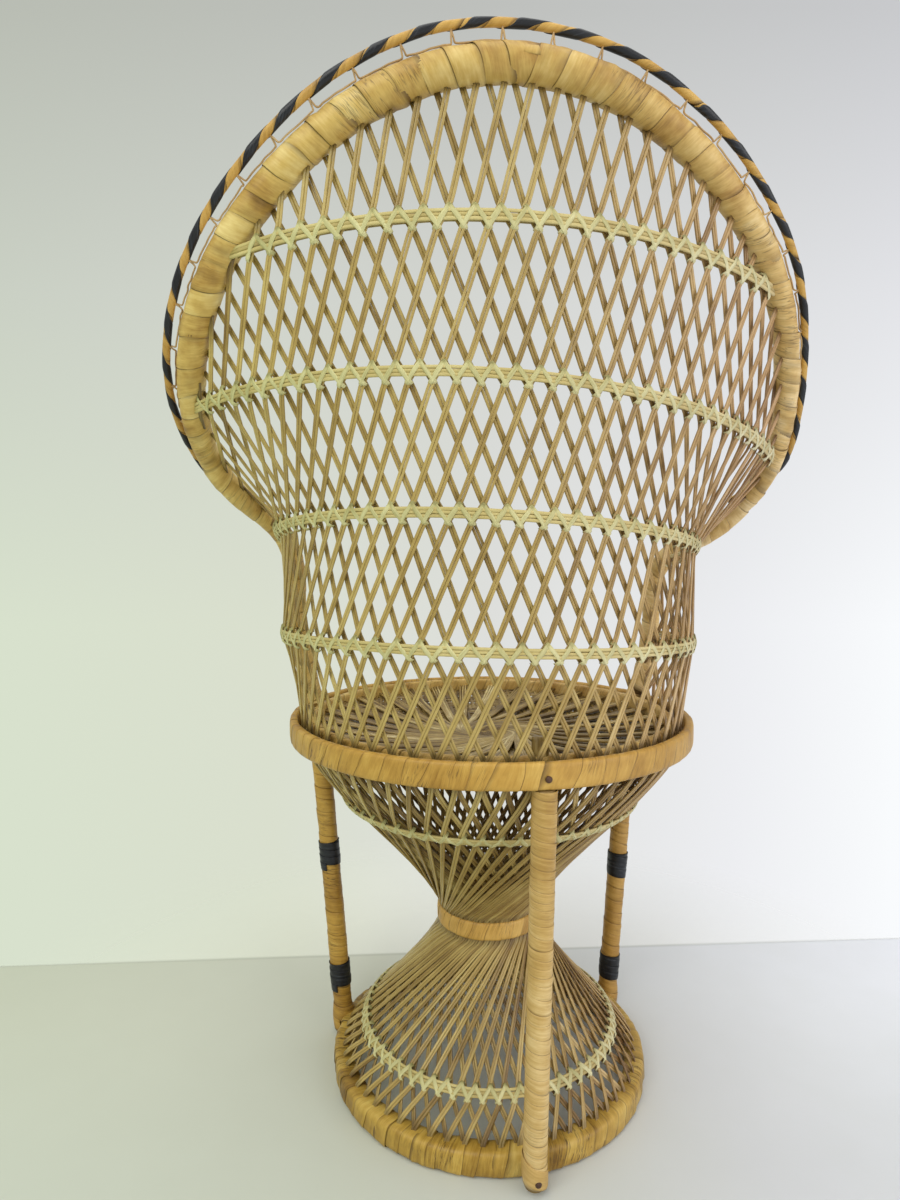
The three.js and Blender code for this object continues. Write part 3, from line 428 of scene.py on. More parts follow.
class Tree:
    """Node tree of a material or a world."""

    def __init__(self, holder):
        holder.use_nodes = True
        self.holder = holder
        self.nodes = holder.node_tree.nodes
        self.links = holder.node_tree.links
        self.shader = self.nodes.get("Principled BSDF")

    def node(self, kind, inputs=None, **settings):
        made = self.nodes.new(kind)
        for key, value in settings.items():
            setattr(made, key, value)
        for key, value in (inputs or {}).items():
            self.put(made.inputs[key], value)
        return made

    def put(self, socket, value):
        if isinstance(value, bpy.types.NodeSocket):
            self.links.new(value, socket)
        else:
            socket.default_value = value

    def math(self, operation, a, b=0.0, clamp=False):
        made = self.node("ShaderNodeMath", {0: a, 1: b}, operation=operation, use_clamp=clamp)
        return made.outputs[0]

    def vector_math(self, operation, a, b=(0.0, 0.0, 0.0)):
        made = self.node("ShaderNodeVectorMath", {0: a, 1: tuple(b)}, operation=operation)
        return made.outputs["Vector" if operation == "MULTIPLY" else "Value"]

    def mix(self, share, a, b, blend="MIX"):
        made = self.node("ShaderNodeMix", data_type="RGBA", blend_type=blend)
        for key, value in (("Factor", share), ("A", a), ("B", b)):
            self.put(made.inputs[key], value)
        return made.outputs["Result"]

    def attribute(self, name):
        return self.node("ShaderNodeAttribute", attribute_name=name).outputs["Fac"]

    def noise(self, vector, scale, detail, roughness=0.55, distortion=0.0):
        made = self.node("ShaderNodeTexNoise", {"Vector": vector, "Scale": scale, "Detail": detail,
                                                "Roughness": roughness, "Distortion": distortion})
        return made.outputs["Fac"]

    def ramp(self, value, ramp_stops):
        made = self.node("ShaderNodeValToRGB", {"Fac": value})
        elements = made.color_ramp.elements
        while len(elements) < len(ramp_stops):
            elements.new(0.5)
        for element, (place, colour) in zip(elements, ramp_stops):
            element.position = place
            element.color = colour
        return made.outputs["Color"]

    def spread(self, value, low, high, to_low=0.0, to_high=1.0):
        made = self.node("ShaderNodeMapRange", {"Value": value, "From Min": low, "From Max": high,
                                                "To Min": to_low, "To Max": to_high})
        return made.outputs["Result"]


CRACK_SCALE = (0.04, 14.0)
CRACK_HALF_WIDTH = 0.025
CRACK_PATCH_SCALE = 45.0
BLOTCH_SCALE = 70.0
BUMP_DEPTH_M = 0.0002
SIDE_REACH_M = 0.12


def cane(name, ramp_stops, rough, tint_share=0.6, streak_share=0.3, blotch_share=0.35,
         streak_scale=(0.05, 5.0), fine_scale=(0.25, 26.0), bump=0.25, specular=0.4, shade_and_crack_colour=rgb(58, 38, 22),
         crack_share=0.0, painted_side_light=None):
    """Split or round cane: colour by piece, fibres along its length, blotches, dark cracks and painted shade.
    Painted side light shifts its colour from one side of the chair to the other."""
    t = Tree(bpy.data.materials.new(name))
    uv = t.node("ShaderNodeUVMap", uv_map="UVMap").outputs["UV"]
    place = t.node("ShaderNodeTexCoord").outputs["Object"]

    def fibres(scale, *shape):
        return t.noise(t.vector_math("MULTIPLY", uv, (*scale, 1)), 1.0, *shape)

    streak, fine = fibres(streak_scale, 4.0), fibres(fine_scale, 2.0)
    blotch = t.noise(place, BLOTCH_SCALE, 4.0)
    tone = t.math("MULTIPLY", t.attribute("tint"), tint_share)
    for part, share in ((streak, streak_share), (fine, streak_share / 2), (blotch, blotch_share)):
        tone = t.math("ADD", tone, t.math("MULTIPLY", t.spread(part, 0.3, 0.7, -0.5, 0.5), share))
    tone = t.math("ADD", tone, 0.5 - tint_share / 2, clamp=True)
    colour = t.ramp(tone, ramp_stops)
    # Painted light and shade: the colour shifts from one side of the chair to the other
    if painted_side_light:
        x = t.node("ShaderNodeSeparateXYZ", {"Vector": place}).outputs["X"]
        places = np.linspace(0, 1, len(painted_side_light))
        side_light_tint = t.ramp(t.spread(x, SIDE_REACH_M, -SIDE_REACH_M), list(zip(places, painted_side_light)))
        colour = t.mix(1.0, colour, side_light_tint, "MULTIPLY")
    # Painted shade: a shade below one darkens the colour towards the shade colour, in crevices, under turns,
    # on hidden cores and at tucked ends
    colour = t.mix(t.math("SUBTRACT", 1.0, t.attribute("shade"), clamp=True), colour, shade_and_crack_colour)
    if crack_share > 0:
        crack = fibres(CRACK_SCALE, 3.0, 0.6, 0.4)
        off_line = t.math("ABSOLUTE", t.math("SUBTRACT", crack, 0.5))
        line = t.spread(off_line, 0.0, CRACK_HALF_WIDTH, 1.0, 0.0)
        where = t.spread(t.noise(place, CRACK_PATCH_SCALE, 2.0), 0.5, 0.62)
        mark = t.math("MULTIPLY", t.math("MULTIPLY", line, where), crack_share, clamp=True)
        colour = t.mix(mark, colour, shade_and_crack_colour)
    t.put(t.shader.inputs["Base Color"], colour)
    t.put(t.shader.inputs["Roughness"], t.spread(streak, 0.25, 0.75, *rough))
    t.shader.inputs["Specular IOR Level"].default_value = specular
    height = t.math("ADD", t.math("MULTIPLY", fine, 0.5), streak)
    bumped = t.node("ShaderNodeBump", {"Height": height, "Strength": bump, "Distance": BUMP_DEPTH_M})
    t.put(t.shader.inputs["Normal"], bumped.outputs["Normal"])
    return t.holder


# Painted light and shade by side of the chair: yellower on one side, darker in the middle, pinker on the
# other
REED_SIDE_LIGHT = [rgb(255, 255, 228), rgb(230, 224, 204), rgb(252, 229, 255)]
PEEL_SIDE_LIGHT = [rgb(255, 255, 224), rgb(240, 232, 202), rgb(255, 250, 252)]
CORD_SIDE_LIGHT = [rgb(250, 252, 218), rgb(246, 242, 216), rgb(255, 250, 250)]
WARM_SIDE_LIGHT = [rgb(250, 252, 218), rgb(248, 244, 216), rgb(252, 250, 255)]
WRAP_STREAKS = dict(streak_scale=(0.06, 11.0), fine_scale=(0.2, 44.0))

REED = cane("reed", stops((0, 92, 64, 36), (0.25, 138, 112, 62), (0.5, 180, 156, 96), (0.75, 206, 186, 126),
                          (1, 232, 218, 168)),
            painted_side_light=REED_SIDE_LIGHT, rough=(0.22, 0.42), streak_share=0.16, blotch_share=0.24,
            streak_scale=(0.03, 2.0), fine_scale=(0.06, 8.0), bump=0.15, specular=0.5)
PEEL = cane("peel", stops((0, 128, 94, 42), (0.3, 182, 146, 82), (0.6, 212, 182, 116), (1, 240, 220, 170)),
            painted_side_light=PEEL_SIDE_LIGHT, crack_share=0.6, rough=(0.38, 0.6), bump=0.45, blotch_share=0.5,
            **WRAP_STREAKS)
LEG = cane("leg_peel", stops((0, 144, 106, 50), (0.3, 174, 138, 72), (0.6, 198, 164, 98), (1, 228, 202, 146)),
           crack_share=0.3, rough=(0.38, 0.6), bump=0.35, **WRAP_STREAKS)
ORANGE = cane("orange_peel", stops((0, 116, 80, 32), (0.3, 166, 126, 58), (0.6, 194, 154, 80),
                                   (1, 218, 184, 112)),
              painted_side_light=WARM_SIDE_LIGHT, crack_share=0.8, rough=(0.36, 0.58), bump=0.45, blotch_share=0.4,
              **WRAP_STREAKS)
BASE = cane("base_peel", stops((0, 110, 78, 28), (0.3, 158, 124, 52), (0.6, 192, 158, 80),
                               (1, 224, 198, 124)),
            painted_side_light=WARM_SIDE_LIGHT, crack_share=1.0, rough=(0.34, 0.55), bump=0.55, blotch_share=0.5,
            **WRAP_STREAKS)
OCHRE = cane("ochre_peel", stops((0, 132, 92, 34), (0.5, 194, 152, 74), (1, 220, 182, 104)),
             crack_share=0.5, rough=(0.36, 0.58), bump=0.35, **WRAP_STREAKS)
CORD = cane("pale_cord", stops((0, 114, 108, 66), (0.35, 180, 175, 132), (0.65, 218, 214, 180),
                               (1, 246, 243, 226)),
            painted_side_light=CORD_SIDE_LIGHT, rough=(0.45, 0.7), streak_share=0.2, blotch_share=0.2)
BAND = cane("band_reed", stops((0, 140, 118, 76), (0.5, 196, 180, 130), (1, 228, 218, 178)),
            painted_side_light=CORD_SIDE_LIGHT, rough=(0.4, 0.65), streak_share=0.12, streak_scale=(0.03, 2.0),
            fine_scale=(0.06, 6.0), bump=0.1)
SEAT = cane("seat_reed", stops((0, 50, 34, 16), (0.4, 116, 92, 48), (0.7, 176, 150, 88), (1, 230, 214, 160)),
            rough=(0.26, 0.48), streak_share=0.25, specular=0.55)
BLACK = cane("black_peel", stops((0, 14, 15, 18), (0.6, 30, 32, 38), (1, 70, 76, 86)), rough=(0.3, 0.5),
             shade_and_crack_colour=rgb(12, 12, 14), streak_share=0.6, tint_share=0.3, blotch_share=0.2,
             streak_scale=(0.08, 14.0))
VINE = cane("vine", stops((0, 138, 106, 70), (0.5, 188, 156, 108), (1, 216, 190, 142)), rough=(0.5, 0.75))
NAIL = cane("nail", stops((0, 40, 24, 16), (1, 92, 62, 44)), rough=(0.4, 0.7))

# Hoop line, from the post at the sitter's right over the crown to the other post
hoop_places = [(along, level) for level, along in HOOP_BENDS]
hoop_places += [(-along, level) for along, level in hoop_places[-2::-1]]
place_alongs, place_levels = np.array(hoop_places, float).T
POST_FOOT = SEAT_TOP + 0.3
hoop_knots = np.vstack([polar(SEAT_STRAND_RADIUS, POST_ANGLE, POST_FOOT),
                        shell_point(place_alongs, place_levels),
                        polar(SEAT_STRAND_RADIUS, -POST_ANGLE, POST_FOOT)])
hoop_knot_normals = np.vstack([polar(1, POST_ANGLE, 0), shell_normal(place_alongs, place_levels),
                               polar(1, -POST_ANGLE, 0)])
hoop_shares = np.linspace(0, 1, 1201)
hoop_line = spline(hoop_knots, hoop_shares)
hoop_normals = unit(spline(hoop_knot_normals, hoop_shares))
hoop_reach = smooth_table([0] + [level for level, _ in HOOP_BENDS],
                          [POST_ANGLE * SEAT_STRAND_RADIUS] + [along for _, along in HOOP_BENDS])
hoop_radius_at = smooth_table(HOOP_SHARES, HOOP_RADII)
hoop_radii = hoop_radius_at(hoop_shares)


def hoop_room(points):
    """Distance from points to the hoop's surface, below zero inside it."""
    away = np.linalg.norm(points[:, None] - hoop_line[None, ::4], axis=2) - hoop_radii[None, ::4]
    return away.min(axis=1)


# Windings of split cane. Outline of a strip by its share of the width, with how far each place
# lifts off the core, and the first place of its back.
STRIP_SHARES = np.array([-0.5, -0.46, -0.25, 0.05, 0.3, 0.465, 0.5, 0.46, 0.0, -0.46])
STRIP_LIFTS = np.array([0.0, 0.35, 0.6, 0.8, 1.0, 1.05, 0.6, 0.2, -0.3, -0.4])
STRIP_BACK = 7
# Painted shade on the back of a strip, which faces the core
BACK_SHADE = 0.1
EDGE_DRIFTS = (0.035, 0.045)
CREASE_START = 0.7
CREASE_MOST = 1.3


def wind(bundle, core, normals, section, seams, thickness, tint, crumple, overlap_share=0.22, hand=1,
         steps=28, edge_shade=0.45, under_shade=0.3, loop=False, phase=0.0, skew=0.0, folds=0.0):
    """Winds a strip round a core. The core is a dense line with its normals, section gives
    (across, out) of the core's outline at an angle and a height over it, and seams are the
    places along the core where each turn begins. The tint is a mean and a spread, or the means
    at both ends and a spread, and folds are creases along the strip of about that height."""
    run = lengths(core)
    side, normal = frames_along(core, normals, loop)
    pitches = np.diff(seams)
    turns = len(pitches)
    whole = np.arange(turns + 1)
    turn = np.arange(turns * steps + 1) / steps
    index = np.minimum(turn.astype(int), turns - 1)
    start = seams[index] + pitches[index] * (turn - index)
    width = np.interp(turn, whole, np.append(pitches, pitches[-1]))
    angle = hand * 2 * np.pi * turn + phase
    count = len(turn)
    own_tint = rng.normal(np.linspace(tint[0], tint[-2], turns + 1), tint[-1])
    tints = np.clip(np.interp(turn, whole, own_tint), 0, 1)
    edge_a, edge_b = (wobble(count, size, turns * 2.0) for size in EDGE_DRIFTS)
    swell = [wobble(count, crumple, turns * 3.0) for _ in range(3)]
    turn_lift = np.interp(turn, whole, rng.normal(0, crumple * 0.7, turns + 1))
    creases = [np.clip(wobble(count, 1.0, turns * 2.0) - CREASE_START, 0, CREASE_MOST) for _ in range(2)]
    rows = np.empty((count, len(STRIP_SHARES), 3))
    shades = np.ones((count, len(STRIP_SHARES)))
    for c, (column, lift) in enumerate(zip(STRIP_SHARES, STRIP_LIFTS)):
        edge = edge_a if column < 0 else edge_b
        across = start + width * (0.5 + column * (1 + overlap_share) + edge * abs(column) * 2)
        share = column + 0.5
        bulge = swell[0] * (1 - share) + swell[1] * share + swell[2] * math.sin(math.pi * share)
        crease = creases[c % 2] if 0.1 < share < 0.9 and c < STRIP_BACK else 0
        height = thickness * (lift + 0.05) + bulge * (1.0 if 0.1 < share < 0.95 else 0.6)
        height = height + turn_lift + folds * crease
        at = np.mod(across, run[-1]) if loop else np.clip(across, 0, run[-1])
        a, o = section(angle + skew * column, height, at)
        rows[:, c] = read_at(at, run, core) + unit(read_at(at, run, side)) * a[:, None] \
            + unit(read_at(at, run, normal)) * o[:, None]
        # Painted shade: the strip's back, the part under its neighbour, its seam edge and its creases are
        # darker
        if c >= STRIP_BACK:
            shades[:, c] = BACK_SHADE
        elif column < -0.3:
            shades[:, c] = under_shade
        elif column > 0.48:
            shades[:, c] = edge_shade
        else:
            shades[:, c] = 1 - min(folds, 0.5) * creases[(c + 1) % 2]
    bundle.grid(rows, tints, shade=shades)


def round_outline(radius):
    """Round core, with one radius or a radius that goes by the place along it."""
    def section(angle, height, at):
        r = (radius(at) if callable(radius) else radius) + height
        return r * np.cos(angle), r * np.sin(angle)
    return section


def boxed_outline(half_across, half_out, power):
    """Rounded box, walked at an even pace: across is the sweep's side, out its normal."""
    def corner(angle):
        return [np.sign(f) * np.abs(f) ** (2 / power) for f in (np.cos(angle), np.sin(angle))]

    dense = np.linspace(0, 2 * np.pi, 721)
    across, out = corner(dense)
    walk = lengths(np.stack([half_across * across, half_out * out], 1))

    def section(angle, height, _):
        across, out = corner(np.interp(np.mod(angle / (2 * np.pi), 1), walk / walk[-1], dense))
        return (half_across + height) * across, (half_out + height) * out
    return section


def seam_places(total, pitch, spread_share):
    """Uneven places where the turns of a winding begin."""
    steps = 1 + rng.normal(0, spread_share, max(1, int(round(total / pitch)))).clip(-0.35, 0.35)
    return np.concatenate([[0], np.cumsum(steps)]) / steps.sum() * total


# Back lattice
STRAND_REACH = 64
STRAND_STEP = 2.9
SPAN_STEPS = 50
FEWEST_STEPS = 25
FOOT_DEPTHS = (6.0, 3.0)
HOOP_MARGIN = 6
SIDE_ROW = 5
SIDE_STRANDS = 4.6
SIDE_END_SHARE = 0.19
SIDE_END_STEP_SHARE = 0.0185
# How far ends run into the hoop, and how dark painted shade turns them there
STRAND_TUCK = -0.45
BAND_TUCK = -0.5
TUCK_REACH = 3.2
TUCK_SHADE = 0.3
# Strands are painted lighter where they rise from the seat: painted light
LOW_PAINTED_LIGHT = 0.26
LOW_PAINTED_LIGHT_REACH = 48.0


def tucked_shade(distances):
    """Painted shade: darker close to where strands go under a wrapping."""
    return np.clip(TUCK_SHADE + (1 - TUCK_SHADE) * distances / TUCK_REACH, TUCK_SHADE, 1)[:, None]


def longest_run(flags):
    """First and last place of the longest run of true flags."""
    edges = np.flatnonzero(np.diff(np.concatenate([[0], flags.astype(int), [0]])))
    starts, ends = edges[::2], edges[1::2]
    if not len(starts):
        return 0, 0
    best = int(np.argmax(ends - starts))
    return int(starts[best]), int(ends[best])


def shell_strand_line(index, layer):
    """Strand from the ring, post or hoop to the hoop, straight between the rows of knots,
    with its normals, or None. The last few strands of a side end on the hoop's lower curve."""
    levels = ROW_LEVELS
    along = row_along(index + layer * KNOT_ROWS, np.arange(len(KNOT_ROWS)))
    knots = shell_point(along, levels, layer_out(along, levels, layer))
    normals = shell_normal(along, levels)
    side_level = levels[SIDE_ROW]
    place = (hoop_reach(side_level) + layer * along[SIDE_ROW]) / pitch_at(side_level)
    if 0 < place < SIDE_STRANDS:
        from_end = SIDE_END_SHARE - SIDE_END_STEP_SHARE * place
        at = (1 - from_end if layer > 0 else from_end) * (len(hoop_knots) - 1)
        own = np.arange(len(hoop_places)) + 1
        end_along, end_level = (np.interp(at, own, table) for table in (place_alongs, place_levels))
        end = read_at(at, np.arange(len(hoop_knots)), hoop_knots)
        knots = np.vstack([end, knots[SIDE_ROW:]])
        normals = np.vstack([shell_normal(end_along, end_level), normals[SIDE_ROW:]])
        along = np.append(end_along, along[SIDE_ROW:])
        levels = np.append(end_level, levels[SIDE_ROW:])
    spans = np.arange(len(levels))
    t = np.linspace(0, spans[-1], SPAN_STEPS * len(levels))
    line, normals = (read_at(t, spans, table) for table in (knots, normals))
    inside = np.abs(np.interp(t, spans, along)) < hoop_reach(np.interp(t, spans, levels)) + HOOP_MARGIN
    first, last = longest_run(inside & (hoop_room(line) > STRAND_TUCK))
    if last - first < FEWEST_STEPS:
        return None
    line, normals = line[first:last], normals[first:last]
    if first == 0 and len(levels) == len(KNOT_ROWS):
        line = np.vstack([*(line[0] - UP * depth for depth in FOOT_DEPTHS), line])
        normals = np.vstack([normals[:1], normals[:1], normals])
    line, normals = resample(line, STRAND_STEP, normals)
    if len(line) > 4:
        line[1:-1] = 0.25 * line[:-2] + 0.5 * line[1:-1] + 0.25 * line[2:]
    return line, normals


def strand_tint(middle, spread, dark_share, darkening):
    """Tint of a strand, which now and then is a much darker one."""
    tint = rng.normal(middle, spread)
    if rng.random() < dark_share:
        tint -= darkening
    return np.clip(tint, 0.05, 1)


def back_lattice(name, layer, *nodes):
    bundle = Bundle(name)
    for index in range(-STRAND_REACH, STRAND_REACH + 1):
        found = shell_strand_line(index, layer)
        if found is None:
            continue
        line, normals = found
        tint = strand_tint(0.52, 0.1, 0.06, 0.2)
        near = np.minimum(hoop_room(line), np.maximum(line[:, 2] - SEAT_TOP, 0))
        # Painted light: paler low down, near the seat
        lift = LOW_PAINTED_LIGHT * np.clip(1 - (line[:, 2] - SEAT_TOP) / LOW_PAINTED_LIGHT_REACH, 0, 1)[:, None]
        reed_pair(bundle, line, unit(normals), tint + lift, tucked_shade(near))
    bundle.place(REED, "reed", *nodes)


back_lattice("back_outer_reeds", 1, *["back_outer_%d" % i for i in range(1, 7)], "back_outer_side")
back_lattice("back_inner_reeds", -1, "back_inner", "back_inner_side")


# Bands and their cords, on the back or on a cone. A surface gives a point and its three
# directions from a distance along it, a height above the band and a distance out.
class ShellSurface:
    def __init__(self, level):
        self.level = level

    def at(self, along, up, out):
        across, rise, normal = self.axes(along)
        up, out = np.asarray(up, float), np.asarray(out, float)
        return shell_base(along, self.level) + rise * up[..., None] + normal * out[..., None]

    def axes(self, along):
        return tuple(way(along, self.level) for way in (shell_across, shell_up, shell_normal))

    def lift(self, along):
        return layer_out(along, self.level, 1) - LAYER_OFFSET


class ConeSurface:
    def __init__(self, radius, height, waist_height):
        self.radius, self.height = radius, height
        slope = unit([WAIST_STRAND_RADIUS - radius, waist_height - height])
        self.slope = slope * np.sign(slope[1])
        self.outward = np.array([self.slope[1], -self.slope[0]])

    def at(self, along, up, out):
        radius = self.radius + self.slope[0] * up + self.outward[0] * out
        return polar(radius, along / self.radius, self.height + self.slope[1] * up + self.outward[1] * out)

    def axes(self, along):
        angle = along / self.radius
        return (polar(1, angle + math.pi / 2, 0), polar(self.slope[0], angle, self.slope[1]),
                polar(self.outward[0], angle, self.outward[1]))

    def lift(self, along):
        return 0 * along


BAND_REED_RADIUS = 0.62
BAND_STEP = 4
BAND_ROWS = (-1.3, 0.0, 1.3)
BACK_ROWS = (-0.65, 0.65)
BAND_OUT = LAYER_OFFSET + REED_RADIUS + 0.4
LASHING_WIDTH = 1.7
LASHING_THICKNESS = 0.26
LASHING_STEPS = 24
KNOT_DARKENING = 0.42
RISE_DARKENING = 0.045
DARK_FROM = 2.2
DARK_SPAN = 0.8
CORD_DRIFT = 0.12
CORD_END_SHARE = 0.46
CORD_END_SHADE = 0.55
KNOT_MARGIN = 3.0
LOW_TAIL = 1.75
HIGH_TAIL = 1.15
OVER_KNOT = LAYER_OFFSET + REED_RADIUS + 0.28
OVER_BAND = BAND_OUT + 0.62
# Path of a cord behind a knot: share of its tail, distance out, how far it has turned over and
# how far it still faces out. Then its path over the band, with a share of the cord's length.
TAIL_SHARES = [(1.0, -LAYER_OFFSET * 0.4, 1.0, 0.25), (0.82, OVER_KNOT * 0.55, 0.8, 0.6),
               (0.4, OVER_KNOT, 0.2, 1.0), (0.0, OVER_KNOT + 0.12, 0.0, 1.0)]
OVER_SHARES = [(0.26, OVER_BAND - 0.22, -0.12, 1.0), (0.5, OVER_BAND, 0.0, 1.0),
               (0.74, OVER_BAND - 0.22, 0.12, 1.0)]


def band_reeds(bundle, surface, start, end, tint, rows=BAND_ROWS, loop=False, out=BAND_OUT):
    """Flat reeds that lie side by side along a band."""
    count = int((end - start) / BAND_STEP)
    along = np.linspace(start, end, count + (0 if loop else 1), endpoint=not loop)
    for row in rows:
        up = row + wobble(len(along), 0.06, len(along) / 6, loop)
        away = out + surface.lift(along) + wobble(len(along), 0.04, len(along) / 6, loop)
        reed_tube(bundle, surface.at(along, up, away), surface.axes(along)[2],
                  BAND_REED_RADIUS * rng.uniform(0.94, 1.06), np.clip(tint + rng.normal(0, 0.12), 0, 1),
                  loop=loop, **SPLIT_REED)


def lashing(bundle, surface, knots, tone=0.5):
    """One flat ribbon that crosses the band from knot to knot and turns behind each. Knots are
    (along, up) of the strand crossings above and below the band, in turn."""
    for (a0, u0), (a1, u1) in zip(knots[:-1], knots[1:]):
        step = np.array([a1 - a0, u1 - u0], float)
        length = np.linalg.norm(step)
        d = step / length
        tails = [(LOW_TAIL if u < 0 else HIGH_TAIL) * rng.uniform(0.88, 1.12) for u in (u0, u1)]
        path = np.array([(-tails[0] * share, out, -turn, face) for share, out, turn, face in TAIL_SHARES]
                        + [(length * share, *rest) for share, *rest in OVER_SHARES]
                        + [(length + tails[1] * share, *rest) for share, *rest in TAIL_SHARES[::-1]])
        shift = rng.normal(0, CORD_DRIFT)
        along = a0 + d[0] * path[:, 0] - shift * d[1]
        up = u0 + d[1] * path[:, 0] + shift * d[0]
        across, rise, normal = surface.axes(along)
        faces = unit((across * d[0] + rise * d[1]) * path[:, 2:3] + normal * path[:, 3:])
        shares = np.linspace(0, 1, LASHING_STEPS)
        line = spline(surface.at(along, up, path[:, 1] + surface.lift(along)), shares)
        normals = unit(spline(faces, shares))
        height = np.interp(shares * (len(up) - 1), np.arange(len(up)), up)
        wide = LASHING_WIDTH * (1 + wobble(len(line), 0.05, 3) + rng.normal(0, 0.05))
        scale = np.stack([wide, np.ones(len(line))], 1)[:, None]
        at_knot = np.clip((height - DARK_FROM) / DARK_SPAN, 0, 1)
        tints = tone - RISE_DARKENING * height - KNOT_DARKENING * at_knot
        tints = np.clip(tints + rng.normal(0, 0.07), 0, 1)
        # Painted shade at the cord's ends, where they turn behind the strands
        ends = np.where(np.abs(shares - 0.5) > CORD_END_SHARE, CORD_END_SHADE, 1.0)[:, None]
        sweep(bundle, line, normals, ribbon_section(1.0, LASHING_THICKNESS) * scale, tints, shade=ends)


def shell_band(number, level):
    surface = ShellSurface(level)
    reach = float(hoop_reach(level))
    probe = np.linspace(0, reach + 3, 240)
    ends = []
    for hand in (-1, 1):
        room = hoop_room(surface.at(hand * probe, 0 * probe, BAND_OUT + surface.lift(hand * probe)))
        hit = np.nonzero(room < BAND_TUCK)[0]
        ends.append(hand * (probe[hit[0]] if len(hit) else probe[-1]))
    bands = Bundle("back_band_%d_reeds" % number)
    band_reeds(bands, surface, *ends, 0.5)
    band_reeds(bands, surface, *ends, 0.4, rows=BACK_ROWS, out=-BAND_OUT)
    low, high = 9 - 2 * number, 10 - 2 * number
    middle, upward = shell_base(0, level), shell_up(0, level)
    rises = [float(np.dot(shell_base(0, ROW_LEVELS[row]) - middle, upward)) for row in (low, high)]
    knots = []
    for k in range(-PAIRS, PAIRS + 1):
        for row, count, rise in ((low, k, rises[0]), (high, k + 0.5, rises[1])):
            along = row_along(count + KNOT_ROWS[low] % 1, row)
            if ends[0] + KNOT_MARGIN < along < ends[1] - KNOT_MARGIN:
                knots.append((along, rise))
    cords = Bundle("back_band_%d_lashing" % number)
    lashing(cords, surface, knots)
    bands.place(BAND, "band_reed", "back_band_%d" % number)
    cords.place(CORD, "pale_cord", "back_lashing_%d" % number)


for number, level in zip((4, 3, 2, 1), BAND_LEVELS):
    shell_band(number, level)


# Cones
SPAN_SHARES = np.array([0.12, 0.3, 0.5, 0.7, 0.88])[:, None]
CONE_STEP = 3.2


def cone_line(angle, layer):
    """Strand from the base ring over the waist to the seat ring, with its normals."""
    pitch = 2 * math.pi / PAIRS
    low_waist = angle + layer * (FOOT_LEAN + LOWER_TWIST)
    top_angle = round((low_waist + layer * (FOOT_LEAN + UPPER_TWIST)) / pitch) * pitch
    low_band = polar(LOWER_BAND_RADIUS, angle + layer * FOOT_LEAN, LOWER_BAND_Z)
    low_end = polar(WAIST_STRAND_RADIUS, low_waist, WAIST_BOTTOM - 0.3)
    high_end = polar(WAIST_STRAND_RADIUS, top_angle - layer * (FOOT_LEAN + UPPER_TWIST), WAIST_TOP)
    high_band = polar(UPPER_BAND_RADIUS, top_angle - layer * FOOT_LEAN, UPPER_BAND_Z)
    knots = np.vstack([
        polar(BASE_STRAND_RADIUS + 0.6, angle, 3.0), polar(BASE_STRAND_RADIUS, angle, BASE_HEIGHT - 1.0),
        low_band, low_band * (1 - SPAN_SHARES) + low_end * SPAN_SHARES, low_end,
        high_end, (high_band * (1 - SPAN_SHARES) + high_end * SPAN_SHARES)[::-1], high_band,
        polar(SEAT_STRAND_RADIUS, top_angle, SEAT_BOTTOM),
        polar(SEAT_STRAND_RADIUS, top_angle, SEAT_TOP - 3)])
    line = spline(knots, np.linspace(0, 1, 220))
    radial = unit(line * np.array([1, 1, 0]))
    fall = unit(np.gradient(line, axis=0))
    normals = unit(radial - fall * np.sum(radial * fall, axis=1, keepdims=True))
    return resample(line + normals * layer * LAYER_OFFSET, CONE_STEP, normals)


def cone_lattice(name, layer, *nodes):
    bundle = Bundle(name)
    for i in range(PAIRS):
        line, normals = cone_line(2 * math.pi * i / PAIRS, layer)
        # The inner layer is painted darker: painted shade inside the cones
        tint = strand_tint(0.55 if layer > 0 else 0.36, 0.18, 0.12, 0.22)
        edges = (BASE_HEIGHT, WAIST_BOTTOM, WAIST_TOP, SEAT_BOTTOM)
        near = np.min([np.abs(line[:, 2] - edge) for edge in edges], axis=0)
        reed_pair(bundle, line, unit(normals), tint, tucked_shade(near), offset=PAIR_OFFSET * 0.95,
                  spread=0.12)
    bundle.place(REED, "reed", *nodes)


cone_lattice("cone_outer_reeds", 1, *["lower_cone_outer_%d" % i for i in range(1, 7)],
             *["upper_cone_outer_%d" % i for i in range(1, 7)])
cone_lattice("cone_inner_reeds", -1, "lower_cone_inner", "upper_cone_inner")

for name, surface, rise in (
        ("lower_cone", ConeSurface(LOWER_BAND_RADIUS, LOWER_BAND_Z, WAIST_BOTTOM), -2.5),
        ("upper_cone", ConeSurface(UPPER_BAND_RADIUS, UPPER_BAND_Z, WAIST_TOP), 2.5)):
    bands, cords = Bundle(name + "_reeds"), Bundle(name + "_cords")
    around = 2 * math.pi * surface.radius
    band_reeds(bands, surface, 0, around, 0.5, loop=True)
    knots = [(around * i / (2 * PAIRS), rise if i % 2 == 0 else -rise) for i in range(2 * PAIRS + 1)]
    lashing(cords, surface, knots, tone=0.55)
    bands.place(BAND, "band_reed", name + "_band")
    cords.place(CORD, "pale_cord", name + "_lashing")

